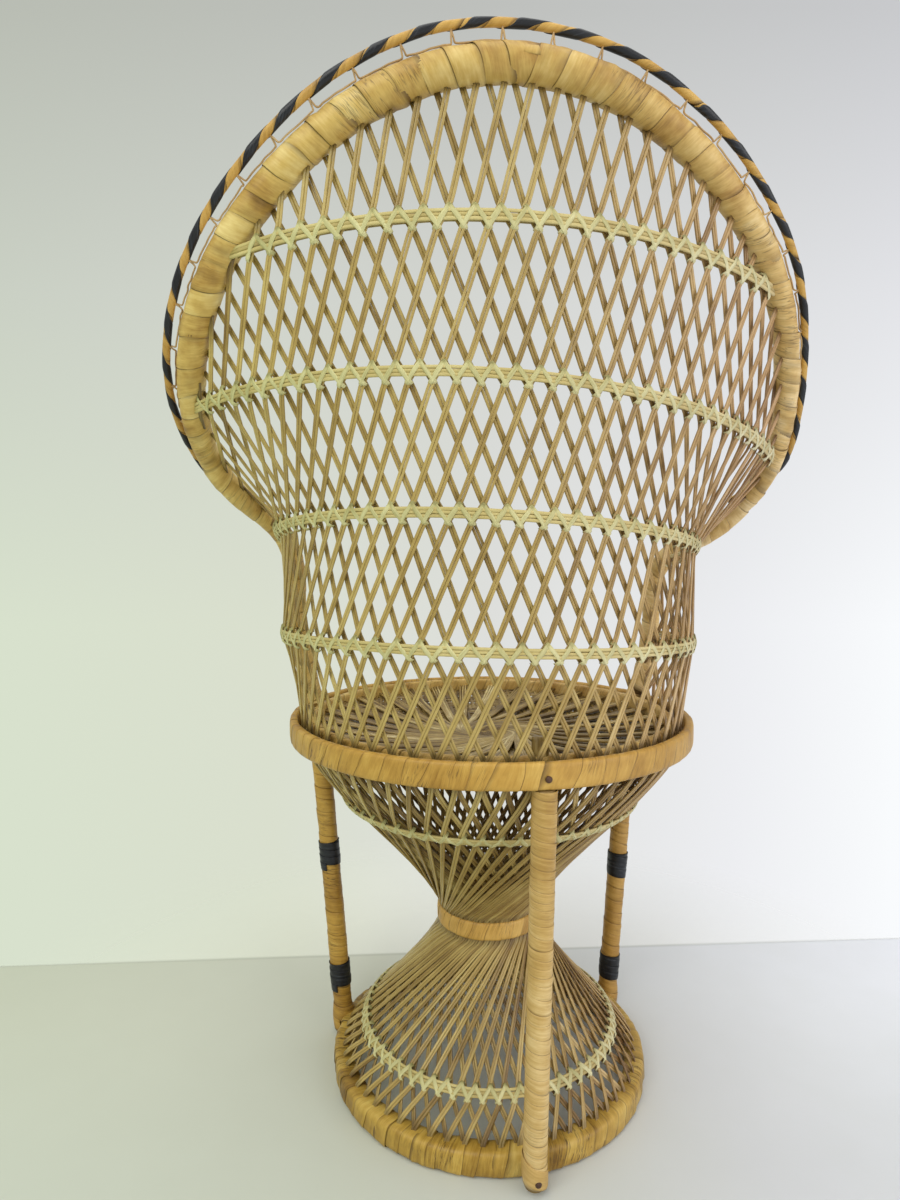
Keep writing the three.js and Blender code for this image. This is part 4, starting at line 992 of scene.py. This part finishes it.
# Hoop winding: two strips of opposite hand that meet at the crown
CROWN_PITCH = 9.6
CROWN_REACH = 10
SIDE_PITCH = 9.5
SEAM_SHIFT = -1.2
HOOP_SKIN = 0.3
hoop_arc = lengths(hoop_line)
crown_at = float(np.interp(0.5, hoop_shares, hoop_arc))
crown_seams = crown_at + SEAM_SHIFT + CROWN_PITCH * np.arange(-CROWN_REACH, CROWN_REACH + 1)
right_seams = seam_places(float(crown_seams[0]), SIDE_PITCH, 0.16)
left_seams = crown_seams[-1] + seam_places(float(hoop_arc[-1] - crown_seams[-1]), SIDE_PITCH, 0.16)
hoop_seams = np.concatenate([right_seams[:-1], crown_seams, left_seams[1:]])
crown_seam = int(np.argmin(np.abs(hoop_seams - crown_at)))
hoop_outline = round_outline(lambda at: hoop_radius_at(np.interp(at, hoop_arc, hoop_shares)) - HOOP_SKIN)
hoop_bundle = Bundle("hoop_wrap")
# The strip on the sitter's right is painted lighter towards its post: painted light
for seams, hand, tint in ((hoop_seams[:crown_seam + 1], 1, (0.86, 0.58, 0.15)),
                          (hoop_seams[crown_seam - 1:], -1, (0.56, 0.17))):
    wind(hoop_bundle, hoop_line, hoop_normals, hoop_outline, seams, 0.34, tint, 0.13, hand=hand, steps=34,
         phase=math.pi / 2, edge_shade=0.2, skew=-0.12 * hand, folds=0.3)
core_line, core_normals, core_shares = resample(hoop_line, 6.0, hoop_normals, hoop_shares)
core_radii = (hoop_radius_at(core_shares) - 0.9)[:, None, None]
# Core painted dark under the winding: painted shade in the gaps between turns
sweep(hoop_bundle, core_line, unit(core_normals), round_section(1, 16) * core_radii, 0.2, shade=0.15)
hoop_bundle.place(PEEL, "peel", "hoop")

# Rim cane and the black strip wound round it
RIM_PERIOD = 17.5
RIM_CORE_RADIUS = RIM_RADIUS - 0.35
hoop_sides, _ = frames_along(hoop_line, hoop_normals)
rim_turn = smooth_table(RIM_TURN_SHARES, RIM_TURNS)(hoop_shares)
rim_away = hoop_sides * np.cos(rim_turn)[:, None] + hoop_normals * np.sin(rim_turn)[:, None]
rim_distances = smooth_table(RIM_SHARES, RIM_DISTANCES)(hoop_shares)
rim_path = hoop_line + rim_away * rim_distances[:, None]
on_rim = (hoop_shares >= RIM_START_SHARE) & (hoop_shares <= RIM_END_SHARE)
rim_line, rim_axes, rim_shares = resample(rim_path[on_rim], 1.5, rim_away[on_rim], hoop_shares[on_rim])
rim_axes = unit(rim_axes)
rim_length = float(lengths(rim_line)[-1])
rim_turns = int(round(rim_length / RIM_PERIOD))
rim_bundle = Bundle("rim_wrap")
# Core painted dark under the winding: painted shade in the gaps between turns
sweep(rim_bundle, rim_line, rim_axes, round_section(RIM_CORE_RADIUS - 0.15, 12), 0.4, shade=0.3)
wind(rim_bundle, rim_line, rim_axes, round_outline(RIM_CORE_RADIUS),
     np.linspace(0, rim_length, 2 * rim_turns + 1), 0.14, (0.5, 0.12), 0.02, steps=20, overlap_share=0.06)
rim_bundle.place(OCHRE, "ochre_peel", "rim_cane")
ribbon_bundle = Bundle("rim_stripes")
wind(ribbon_bundle, rim_line, rim_axes, round_outline(RIM_CORE_RADIUS + 0.12),
     np.linspace(0, rim_length, rim_turns + 1), 0.2, (0.5, 0.1), 0.03, steps=30, overlap_share=-0.5,
     edge_shade=1.0, under_shade=1.0)
ribbon_bundle.place(BLACK, "black_peel", "rim_ribbon")

# Vine: hugs the outer edge of the hoop and rises once a period to tuck under the rim's wrapping
VINE_RADIUS = 0.34
VINE_TUCK = 0.7
VINE_TURN = 0.5
VINE_SHARES = (0.025, 0.05, 0.09, 0.2, 0.36, 0.5, 0.64, 0.8, 0.92, 0.96, 0.98)
RISE_SHARE = 0.045
vine_runs = (np.arange(rim_turns) + VINE_TURN) * rim_length / rim_turns
vine_places = np.interp(vine_runs, lengths(rim_line), rim_shares)


def vine_place(share, out, lift):
    """Point near the hoop: out from its centre towards the rim, and lifted along its normal."""
    away, normal = (unit(read_at(share, hoop_shares, table)) for table in (rim_away, hoop_normals))
    return read_at(share, hoop_shares, hoop_line) + away * out + normal * lift


vine_bundle = Bundle("rim_vine")
for here, far in zip(vine_places[:-1], vine_places[1:]):
    rims = np.interp([here, far], hoop_shares, rim_distances) - RIM_RADIUS + VINE_TUCK
    path = [vine_place(here, rims[0], 0.3)]
    for part in VINE_SHARES:
        spot = here + (far - here) * part
        hug = float(np.interp(spot, hoop_shares, hoop_radii)) + VINE_RADIUS
        room = max(0.0, float(np.interp(spot, hoop_shares, rim_distances)) - hug - RIM_RADIUS)
        rise = room * max(0.0, 1 - min(part, 1 - part) / RISE_SHARE)
        path.append(vine_place(spot, hug + rise, rng.uniform(0.2, 0.9)))
    path.append(vine_place(far, rims[1], -0.3))
    line = spline(np.array(path), np.linspace(0, 1, 56))
    normals = np.repeat(unit(vine_place(here, 1.0, 0) - vine_place(here, 0, 0))[None], len(line), 0)
    reed_tube(vine_bundle, line, normals, VINE_RADIUS, any_tint(0.45, 0.15))
vine_bundle.place(VINE, "vine", "rim_lacing")

# Wrapped rings, with a core under the winding painted dark: painted shade in the gaps between turns
CORE_INSET = 0.6


def wrapped_ring(name, outer, thickness, bottom, band, pitch, material, nodes, tint, skin, crumple=0.08,
                 power=4.5, spread_share=0.12, **looks):
    bundle = Bundle(name)
    around = np.linspace(0, 2 * np.pi, 361)
    core, normals = polar(outer - thickness / 2, around, bottom + band / 2), polar(1.0, around, 0.0)
    seams = seam_places(float(lengths(core)[-1]), pitch, spread_share)
    half_out, half_up = thickness / 2 - skin, band / 2 - skin
    wind(bundle, core, normals, boxed_outline(half_up, half_out, power), seams, skin, tint, crumple,
         steps=40, loop=True, **looks)
    angle = 2 * np.pi * np.arange(24) / 24
    corners = boxed_outline(half_up - CORE_INSET, half_out - CORE_INSET, power)(angle, 0, None)
    sweep(bundle, core[:-1:3], normals[:-1:3], np.stack(corners, 1), 0.2, loop=True, shade=0.15)
    bundle.place(material, "peel", *nodes)


wrapped_ring("seat_ring_wrap", SEAT_RADIUS, SEAT_HOOP_THICKNESS, SEAT_BOTTOM, SEAT_BAND, 9.2, ORANGE,
             ["seat_ring_outer"], (0.58, 0.1), 0.16, crumple=0.03, spread_share=0.3, edge_shade=0.6)
wrapped_ring("seat_inner_wrap", SEAT_INNER_RADIUS, SEAT_INNER_THICKNESS, SEAT_TOP - SEAT_INNER_BAND,
             SEAT_INNER_BAND, 8.0, PEEL, ["seat_ring_inner"], (0.5, 0.1), 0.4)
wrapped_ring("base_ring_wrap", BASE_RADIUS, BASE_DEPTH, 0.0, BASE_HEIGHT, 5.8, BASE,
             ["base_ring_outer", "base_ring_inner"], (0.58, 0.17), 0.3, crumple=0.12, spread_share=0.35,
             edge_shade=0.35, folds=0.18, power=4.6)
wrapped_ring("waist_wrap", WAIST_RADIUS, WAIST_THICKNESS, WAIST_BOTTOM, WAIST_HEIGHT, 7.0, OCHRE,
             ["waist_ring"], (0.56, 0.14), 0.2, crumple=0.07, spread_share=0.25, folds=0.1)

# Wound legs and their sleeves
FLARE_END = 9.0
FLARE_FADE = 5.0
SLEEVE_LENGTH = 14.8
SLEEVE_PITCH = 3.7


def leg_axis(angle, foot_radius):
    return polar(foot_radius, angle, 0.0), polar(LEG_TOP_RADIUS, angle, LEG_TOP)


def leg_core(first, last, angle, count):
    """Straight line with normals that face away from the middle of the chair."""
    shares = np.linspace(0, 1, count)[:, None]
    run, outward = unit(last - first), polar(1, angle, 0)
    normals = np.repeat(unit(outward - run * np.dot(outward, run))[None], count, 0)
    return first * (1 - shares) + last * shares, normals


def leg(name, angle, foot_radius, start, pitch, material, node, slot, tint, spread_share=0.12,
        crumple=0.07, skin=0.35, flare=0.0, **looks):
    """Leg wound with peel. Its flare widens the winding where it runs down over the base ring."""
    foot, top = leg_axis(angle, foot_radius)
    core, normals = leg_core(foot + (top - foot) * (start / top[2]), top, angle, 80)
    seams = seam_places(float(lengths(core)[-1]), pitch, spread_share)

    def radius_at(at):
        return LEG_RADIUS - skin - 0.05 + flare * np.clip(1 - (at - FLARE_END) / FLARE_FADE, 0, 1)

    bundle = Bundle(name)
    wind(bundle, core, normals, round_outline(radius_at), seams, skin, tint, crumple, **looks)
    # Core painted darker under the winding: painted shade in the gaps between turns
    sweep(bundle, core, normals, round_section(LEG_RADIUS - skin - CORE_INSET, 18), 0.5, shade=0.5)
    bundle.place(material, slot, node)


# The back leg's winding is painted lighter towards its foot: painted light
leg("back_leg_wrap", BACK_LEG_ANGLE, BACK_FOOT_RADIUS, 2.6, 4.6, LEG, "back_leg", "peel",
    (1.0, 0.4, 0.08), spread_share=0.28, crumple=0.045, skin=0.18)
leg("left_leg_wrap", -SIDE_LEG_ANGLE, SIDE_FOOT_RADIUS, 1.4, 6.0, ORANGE, "left_leg",
    "orange_peel", (0.5, 0.1), skin=0.25, flare=0.9, folds=0.12)
leg("right_leg_wrap", SIDE_LEG_ANGLE, SIDE_FOOT_RADIUS, 1.4, 6.0, ORANGE, "right_leg",
    "orange_peel", (0.5, 0.1), flare=0.9, folds=0.12)

for side, angle, middles in (("left", -SIDE_LEG_ANGLE, (29.5, 94)), ("right", SIDE_LEG_ANGLE, (23.5, 80))):
    foot, top = leg_axis(angle, SIDE_FOOT_RADIUS)
    for i, middle in enumerate(middles, 1):
        centre = foot + (top - foot) * (middle / top[2])
        half = unit(top - foot) * SLEEVE_LENGTH / 2
        core, normals = leg_core(centre - half, centre + half, angle, 30)
        bundle = Bundle("%s_sleeve_%d_wrap" % (side, i))
        seams = seam_places(SLEEVE_LENGTH, SLEEVE_PITCH, 0.1)
        wind(bundle, core, normals, round_outline(LEG_RADIUS + 0.15), seams, 0.35, (0.5, 0.15), 0.06)
        bundle.place(BLACK, "black_peel", "%s_leg_sleeve_%d" % (side, i))

# Seat: an under-weave of crossed reeds and a pinwheel of reeds over it, held by a woven middle
DISH_RADIUS = SEAT_INNER_RADIUS - SEAT_INNER_THICKNESS - 0.3
DISH_EDGE = 170.5
DISH_DIP = 9.0
HUB_RADIUS = 13.0
WEAVE_PITCH = 2.6
WEAVE_WAVE = 0.35
GROUPS = 30
GROUP_REEDS = 4
GROUP_HALF_WIDTH = 2.2
SWIRL_STEPS = 26
SWIRL_LIFT = 0.9
LAYER_LIFT = 0.12
# The pinwheel rises in a low hill round the middle and its ends dip under it
HILL_HEIGHT = 1.3
HILL_REACH = 12
DIP_DEPTH = 1.6
DIP_SHARE = 0.12


def dish(radius):
    return DISH_EDGE - DISH_DIP * (1 - (np.asarray(radius, float) / DISH_RADIUS) ** 2)


def upward(count):
    return np.repeat(UP[None], count, 0)


under_bundle = Bundle("seat_under_reeds")
for axis in (0, 1):
    for offset in np.arange(-DISH_RADIUS + 3, DISH_RADIUS - 2, WEAVE_PITCH):
        half = math.sqrt(max(0.0, (DISH_RADIUS - 0.5) ** 2 - offset ** 2))
        along = np.linspace(-half, half, max(4, int(half / 2)))
        spot = np.stack([along, np.full_like(along, offset)], 1)
        if axis:
            spot = spot[:, ::-1]
        phase = (round((offset + 200) / WEAVE_PITCH) % 2) * np.pi + axis * np.pi
        wave = WEAVE_WAVE * np.cos(along / WEAVE_PITCH * np.pi + phase)
        line = np.column_stack([spot, dish(np.hypot(spot[:, 0], spot[:, 1])) - 1.2 + wave])
        sweep(under_bundle, line, upward(len(line)), ribbon_section(2.1, 0.6), any_tint(0.42, 0.12))
under_bundle.place(SEAT, "seat_reed", "seat_under_weave")

swirl_bundle = Bundle("seat_swirl_reeds")
share = np.linspace(0, 1, SWIRL_STEPS)
touch_turn = math.acos(HUB_RADIUS / DISH_RADIUS)
for group in range(GROUPS):
    angle = 2 * np.pi * group / GROUPS
    start = polar(DISH_RADIUS + 1.0, angle, 0)[:2]
    touch = polar(HUB_RADIUS, angle + touch_turn, 0)[:2]
    end = polar(HUB_RADIUS * 0.62, angle + touch_turn + 0.9, 0)[:2]
    direction = unit(touch - start)
    aside = np.array([-direction[1], direction[0]])
    for layer, place in enumerate(np.linspace(-GROUP_HALF_WIDTH, GROUP_HALF_WIDTH, GROUP_REEDS)):
        knots = np.array([start + aside * place * 1.1, start * 0.6 + touch * 0.4 + aside * place * 0.75,
                          start * 0.2 + touch * 0.8 + aside * place * 0.55, touch + aside * place * 0.4,
                          end + aside * place * 0.2])
        flat = spline(knots, share)
        radius = np.hypot(flat[:, 0], flat[:, 1])
        hill = np.exp(-((radius - HUB_RADIUS * 1.15) / HILL_REACH) ** 2)
        z = dish(radius) + SWIRL_LIFT + HILL_HEIGHT * hill + LAYER_LIFT * layer
        z = z - DIP_DEPTH * np.clip((share - (1 - DIP_SHARE)) / DIP_SHARE, 0, 1)
        reed_tube(swirl_bundle, np.column_stack([flat, z]), upward(SWIRL_STEPS), 0.62, any_tint(0.64, 0.2))
swirl_bundle.place(SEAT, "seat_reed", "seat_swirl")

hub_bundle = Bundle("seat_hub_weave")
for turn_radius in np.arange(1.2, 9.5, 1.15):
    angle = np.linspace(0, 2 * np.pi, 40, endpoint=False)
    line = polar(turn_radius, angle, dish(turn_radius) + 0.8 + 0.25 * np.cos(angle * 7 + turn_radius * 9))
    reed_tube(hub_bundle, line, upward(len(line)), 0.6, any_tint(0.5, 0.12), loop=True)
hub_bundle.place(SEAT, "seat_reed", "seat_hub")

# Foot of the back leg: two peel strips laid round it slantwise, as start, end, top and bottom
FOOT_STRIPS = [(-2.2, 2.2, 15.0, 4.5), (-2.0, 2.4, 10.5, 3.5)]
leg_foot, leg_top = leg_axis(BACK_LEG_ANGLE, BACK_FOOT_RADIUS)
leg_out = polar(1.0, BACK_LEG_ANGLE, 0.0)
foot_bundle = Bundle("back_foot_wrap")
for start_angle, end_angle, high, low in FOOT_STRIPS:
    shares = np.linspace(0, 1, 40)
    heights = high + (low - high) * shares
    turns = start_angle + (end_angle - start_angle) * shares
    away = leg_out * np.cos(turns)[:, None] \
        + polar(1.0, BACK_LEG_ANGLE + math.pi / 2, 0.0) * np.sin(turns)[:, None]
    line = leg_foot + (leg_top - leg_foot) * (heights / leg_top[2])[:, None] + away * (LEG_RADIUS + 0.12)
    sweep(foot_bundle, line, away, ribbon_section(5.6, 0.3, 0.6), 0.62)
foot_bundle.place(LEG, "peel", "back_leg")

# Nails, and the tongue of the leg's cane behind the seat ring
NAIL_PROFILE = [(1.25, -0.3), (1.35, 0.3), (1.2, 0.65), (0.8, 0.9), (0.3, 1.0), (0.02, 1.02)]
RING_NAIL_Z = 169.5
FOOT_NAIL_Z = 7.0
nail_side = np.cross(UP, leg_out)
nail_angle = 2 * np.pi * np.arange(16) / 16
nail_ring = np.outer(np.cos(nail_angle), nail_side) + np.outer(np.sin(nail_angle), UP)
foot_centre = leg_foot + (leg_top - leg_foot) * (FOOT_NAIL_Z / leg_top[2])
nail_bundle = Bundle("seat_ring_nail_head")
for nail_centre in (polar(SEAT_RADIUS + 0.2, BACK_LEG_ANGLE, RING_NAIL_Z),
                    foot_centre + leg_out * (LEG_RADIUS + 0.1)):
    rows = [nail_centre + leg_out * out + nail_ring * radius for radius, out in NAIL_PROFILE]
    nail_bundle.grid(np.array(rows), 0.5)
nail_bundle.place(NAIL, "nail", "seat_ring_nail")

TONGUE_STEPS = 12
tongue_foot = polar(SEAT_INNER_RADIUS - 1.75, BACK_LEG_ANGLE, SEAT_TOP - 3)
tongue_line = tongue_foot + np.outer(np.linspace(0, 10.2, TONGUE_STEPS), UP)
tongue_bundle = Bundle("back_leg_tongue_stub")
sweep(tongue_bundle, tongue_line, np.repeat(leg_out[None], TONGUE_STEPS, 0),
      ribbon_section(6.8, 2.4, 0.1), 0.55)
tongue_bundle.place(SEAT, "seat_reed", "back_leg_tongue")

# Camera
CAMERA_PLACE = np.array([63.3, 351.6, 251.7])
FORWARD = unit([-0.1247, -0.9922, 0.0])
RIGHT = unit(np.cross(FORWARD, UP))
PITCH = math.radians(3.72)
camera_data = bpy.data.cameras.new("camera")
camera_data.sensor_fit = "VERTICAL"
camera_data.sensor_height = 36.0
camera_data.lens = 22.2
camera_data.clip_start = 0.01
camera = bpy.data.objects.new("camera", camera_data)
bpy.context.scene.collection.objects.link(camera)
camera.location = Vector(CAMERA_PLACE * MM + AXIS)
look = FORWARD * math.cos(PITCH) - UP * math.sin(PITCH)
camera.rotation_euler = Vector(look).to_track_quat("-Z", "Y").to_euler()
bpy.context.scene.camera = camera

# Backdrop colours by height and, within each, from one side to the other: painted light on the wall
WALL_HALF_WIDTH = 0.61
WALL_RISES = (-0.1, 0.34, 0.7)
LOW_WALL = stops((0, 216, 225, 205), (0.3, 218, 223, 206), (0.55, 222, 223, 220), (0.82, 237, 238, 241),
                 (1, 249, 251, 253))
MIDDLE_WALL = stops((0, 202, 208, 196), (0.5, 211, 213, 208), (1, 227, 228, 232))
HIGH_WALL = stops((0, 185, 189, 179), (0.5, 189, 191, 187), (1, 201, 202, 205))


def wall_tone(t, direction):
    """Backdrop colour by direction, with painted light: brighter low down and to one side."""
    forward = t.math("MAXIMUM", t.vector_math("DOT_PRODUCT", direction, FORWARD), 0.02)
    across, rise = (t.math("DIVIDE", t.vector_math("DOT_PRODUCT", direction, way), forward)
                    for way in (RIGHT, UP))
    place = t.spread(across, -WALL_HALF_WIDTH, WALL_HALF_WIDTH)
    low, middle, high = (t.ramp(place, wall) for wall in (LOW_WALL, MIDDLE_WALL, HIGH_WALL))
    lower = t.mix(t.spread(rise, *WALL_RISES[:2]), low, middle)
    return t.mix(t.spread(rise, *WALL_RISES[1:]), lower, high)


# Floor: pale, and beyond the line where the wall begins it takes the wall's tone
FLOOR_REACH_M = 4.0
FLOOR_DROP_M = 0.0002
FLOOR_WIDTH_M = 0.55
LINE_BLUR_M = 0.0008
LINE_HALF_WIDTH_M = 0.0022
CLOSE_FADE_M = (-0.05, -0.17)
OPEN_FADE_M = (0.16, 0.3)
# Painted light: the floor's tones run lighter and bluer towards one side, more so near the line where the
# wall begins
FAR_FLOOR = stops((0, 199, 205, 185), (0.4, 210, 213, 199), (0.7, 224, 226, 230), (1, 237, 239, 248))
CLOSE_FLOOR = stops((0, 198, 206, 189), (0.4, 202, 207, 194), (0.7, 212, 214, 219), (1, 224, 227, 233))
NEAR_WALL = stops((0, 224, 232, 213), (0.3, 228, 232, 216), (0.55, 238, 239, 236), (0.82, 245, 246, 248),
                  (1, 250, 251, 253))
# Ends of the line where the wall begins, as distances forward and to the right
WALL_LINE = ((436, -265), (468, 285))
on_floor = CAMERA_PLACE * [1, 1, 0]
line_left, line_right = ((on_floor + FORWARD * ahead + RIGHT * aside) * MM + AXIS
                         for ahead, aside in WALL_LINE)
line_run = unit(line_right - line_left)
line_normal = np.cross(UP, line_run)
line_normal = line_normal * np.sign(np.dot(line_normal, FORWARD))
floor_mesh = bpy.data.meshes.new("floor")
floor_corners = [(x * FLOOR_REACH_M, y * FLOOR_REACH_M, 0) for x, y in ((-1, -1), (1, -1), (1, 1), (-1, 1))]
floor_mesh.from_pydata(floor_corners, [], [(0, 1, 2, 3)])
floor = bpy.data.objects.new("floor", floor_mesh)
bpy.context.scene.collection.objects.link(floor)
floor.location.z = -FLOOR_DROP_M

t = Tree(bpy.data.materials.new("floor_finish"))
position = t.node("ShaderNodeNewGeometry").outputs["Position"]
beyond, along_line = (
    t.math("SUBTRACT", t.vector_math("DOT_PRODUCT", position, way), float(np.dot(way, line_left)))
    for way in (line_normal, line_run))
across = t.spread(along_line, 0.0, FLOOR_WIDTH_M)
is_wall = t.spread(beyond, -LINE_BLUR_M, LINE_BLUR_M)
near_tone = t.mix(t.spread(beyond, *CLOSE_FADE_M), t.ramp(across, FAR_FLOOR), t.ramp(across, CLOSE_FLOOR))
grain = t.spread(t.noise(position, 30.0, 5.0), 0.3, 0.7, 0.0, 0.06)
near_tone = t.mix(grain, near_tone, rgb(176, 180, 162))
# Painted shade: a thin darker line where the wall begins
junction_shade = t.spread(t.math("ABSOLUTE", beyond), 0.0, LINE_HALF_WIDTH_M, 0.35, 0.0)
ground = t.mix(is_wall, near_tone, t.ramp(across, NEAR_WALL))
t.put(t.shader.inputs["Base Color"], t.mix(junction_shade, ground, rgb(150, 154, 140)))
t.shader.inputs["Roughness"].default_value = 0.85
t.shader.inputs["Specular IOR Level"].default_value = 0.2
from_chair = t.vector_math("LENGTH", position)
ray = t.node("ShaderNodeLightPath").outputs["Is Camera Ray"]
open_share = t.math("MULTIPLY", t.math("MULTIPLY", t.spread(from_chair, *OPEN_FADE_M), is_wall), ray)
see_through = t.node("ShaderNodeBsdfTransparent")
blend = t.node("ShaderNodeMixShader", {0: open_share, 1: t.shader.outputs[0], 2: see_through.outputs[0]})
t.put(t.nodes["Material Output"].inputs["Surface"], blend.outputs[0])
floor_mesh.materials.append(t.holder)

# World: backdrop tones for the camera, soft neutral light for everything else
world = bpy.data.worlds.new("studio")
bpy.context.scene.world = world
t = Tree(world)
sky_light = t.node("ShaderNodeBackground", {"Color": rgb(238, 240, 236), "Strength": 0.62})
background = t.nodes["Background"]
t.put(background.inputs["Color"], wall_tone(t, t.node("ShaderNodeTexCoord").outputs["Generated"]))
background.inputs["Strength"].default_value = 1.0
ray = t.node("ShaderNodeLightPath").outputs["Is Camera Ray"]
seen = t.node("ShaderNodeMixShader", {0: ray, 1: sky_light.outputs[0], 2: background.outputs[0]})
t.put(t.nodes["World Output"].inputs["Surface"], seen.outputs[0])

# Lamps, in metres: name, place, height of the target, power, width and colour
for name, place, target, power, width, colour in (
        ("key", (0.75, 0.9, 1.1), 0.22, 9.0, 0.9, (1.0, 1.0, 0.93)),
        ("fill", (-0.9, 0.9, 0.55), 0.2, 7.0, 1.0, (1.0, 0.97, 0.98)),
        ("top", (0.0, 0.1, 1.4), 0.2, 5.0, 1.2, (1.0, 1.0, 1.0))):
    data = bpy.data.lights.new(name, "AREA")
    data.energy = power
    data.size = width
    data.color = colour
    lamp = bpy.data.objects.new(name, data)
    bpy.context.scene.collection.objects.link(lamp)
    lamp.location = place
    lamp.rotation_euler = (Vector((0, 0, target)) - Vector(place)).to_track_quat("-Z", "Y").to_euler()
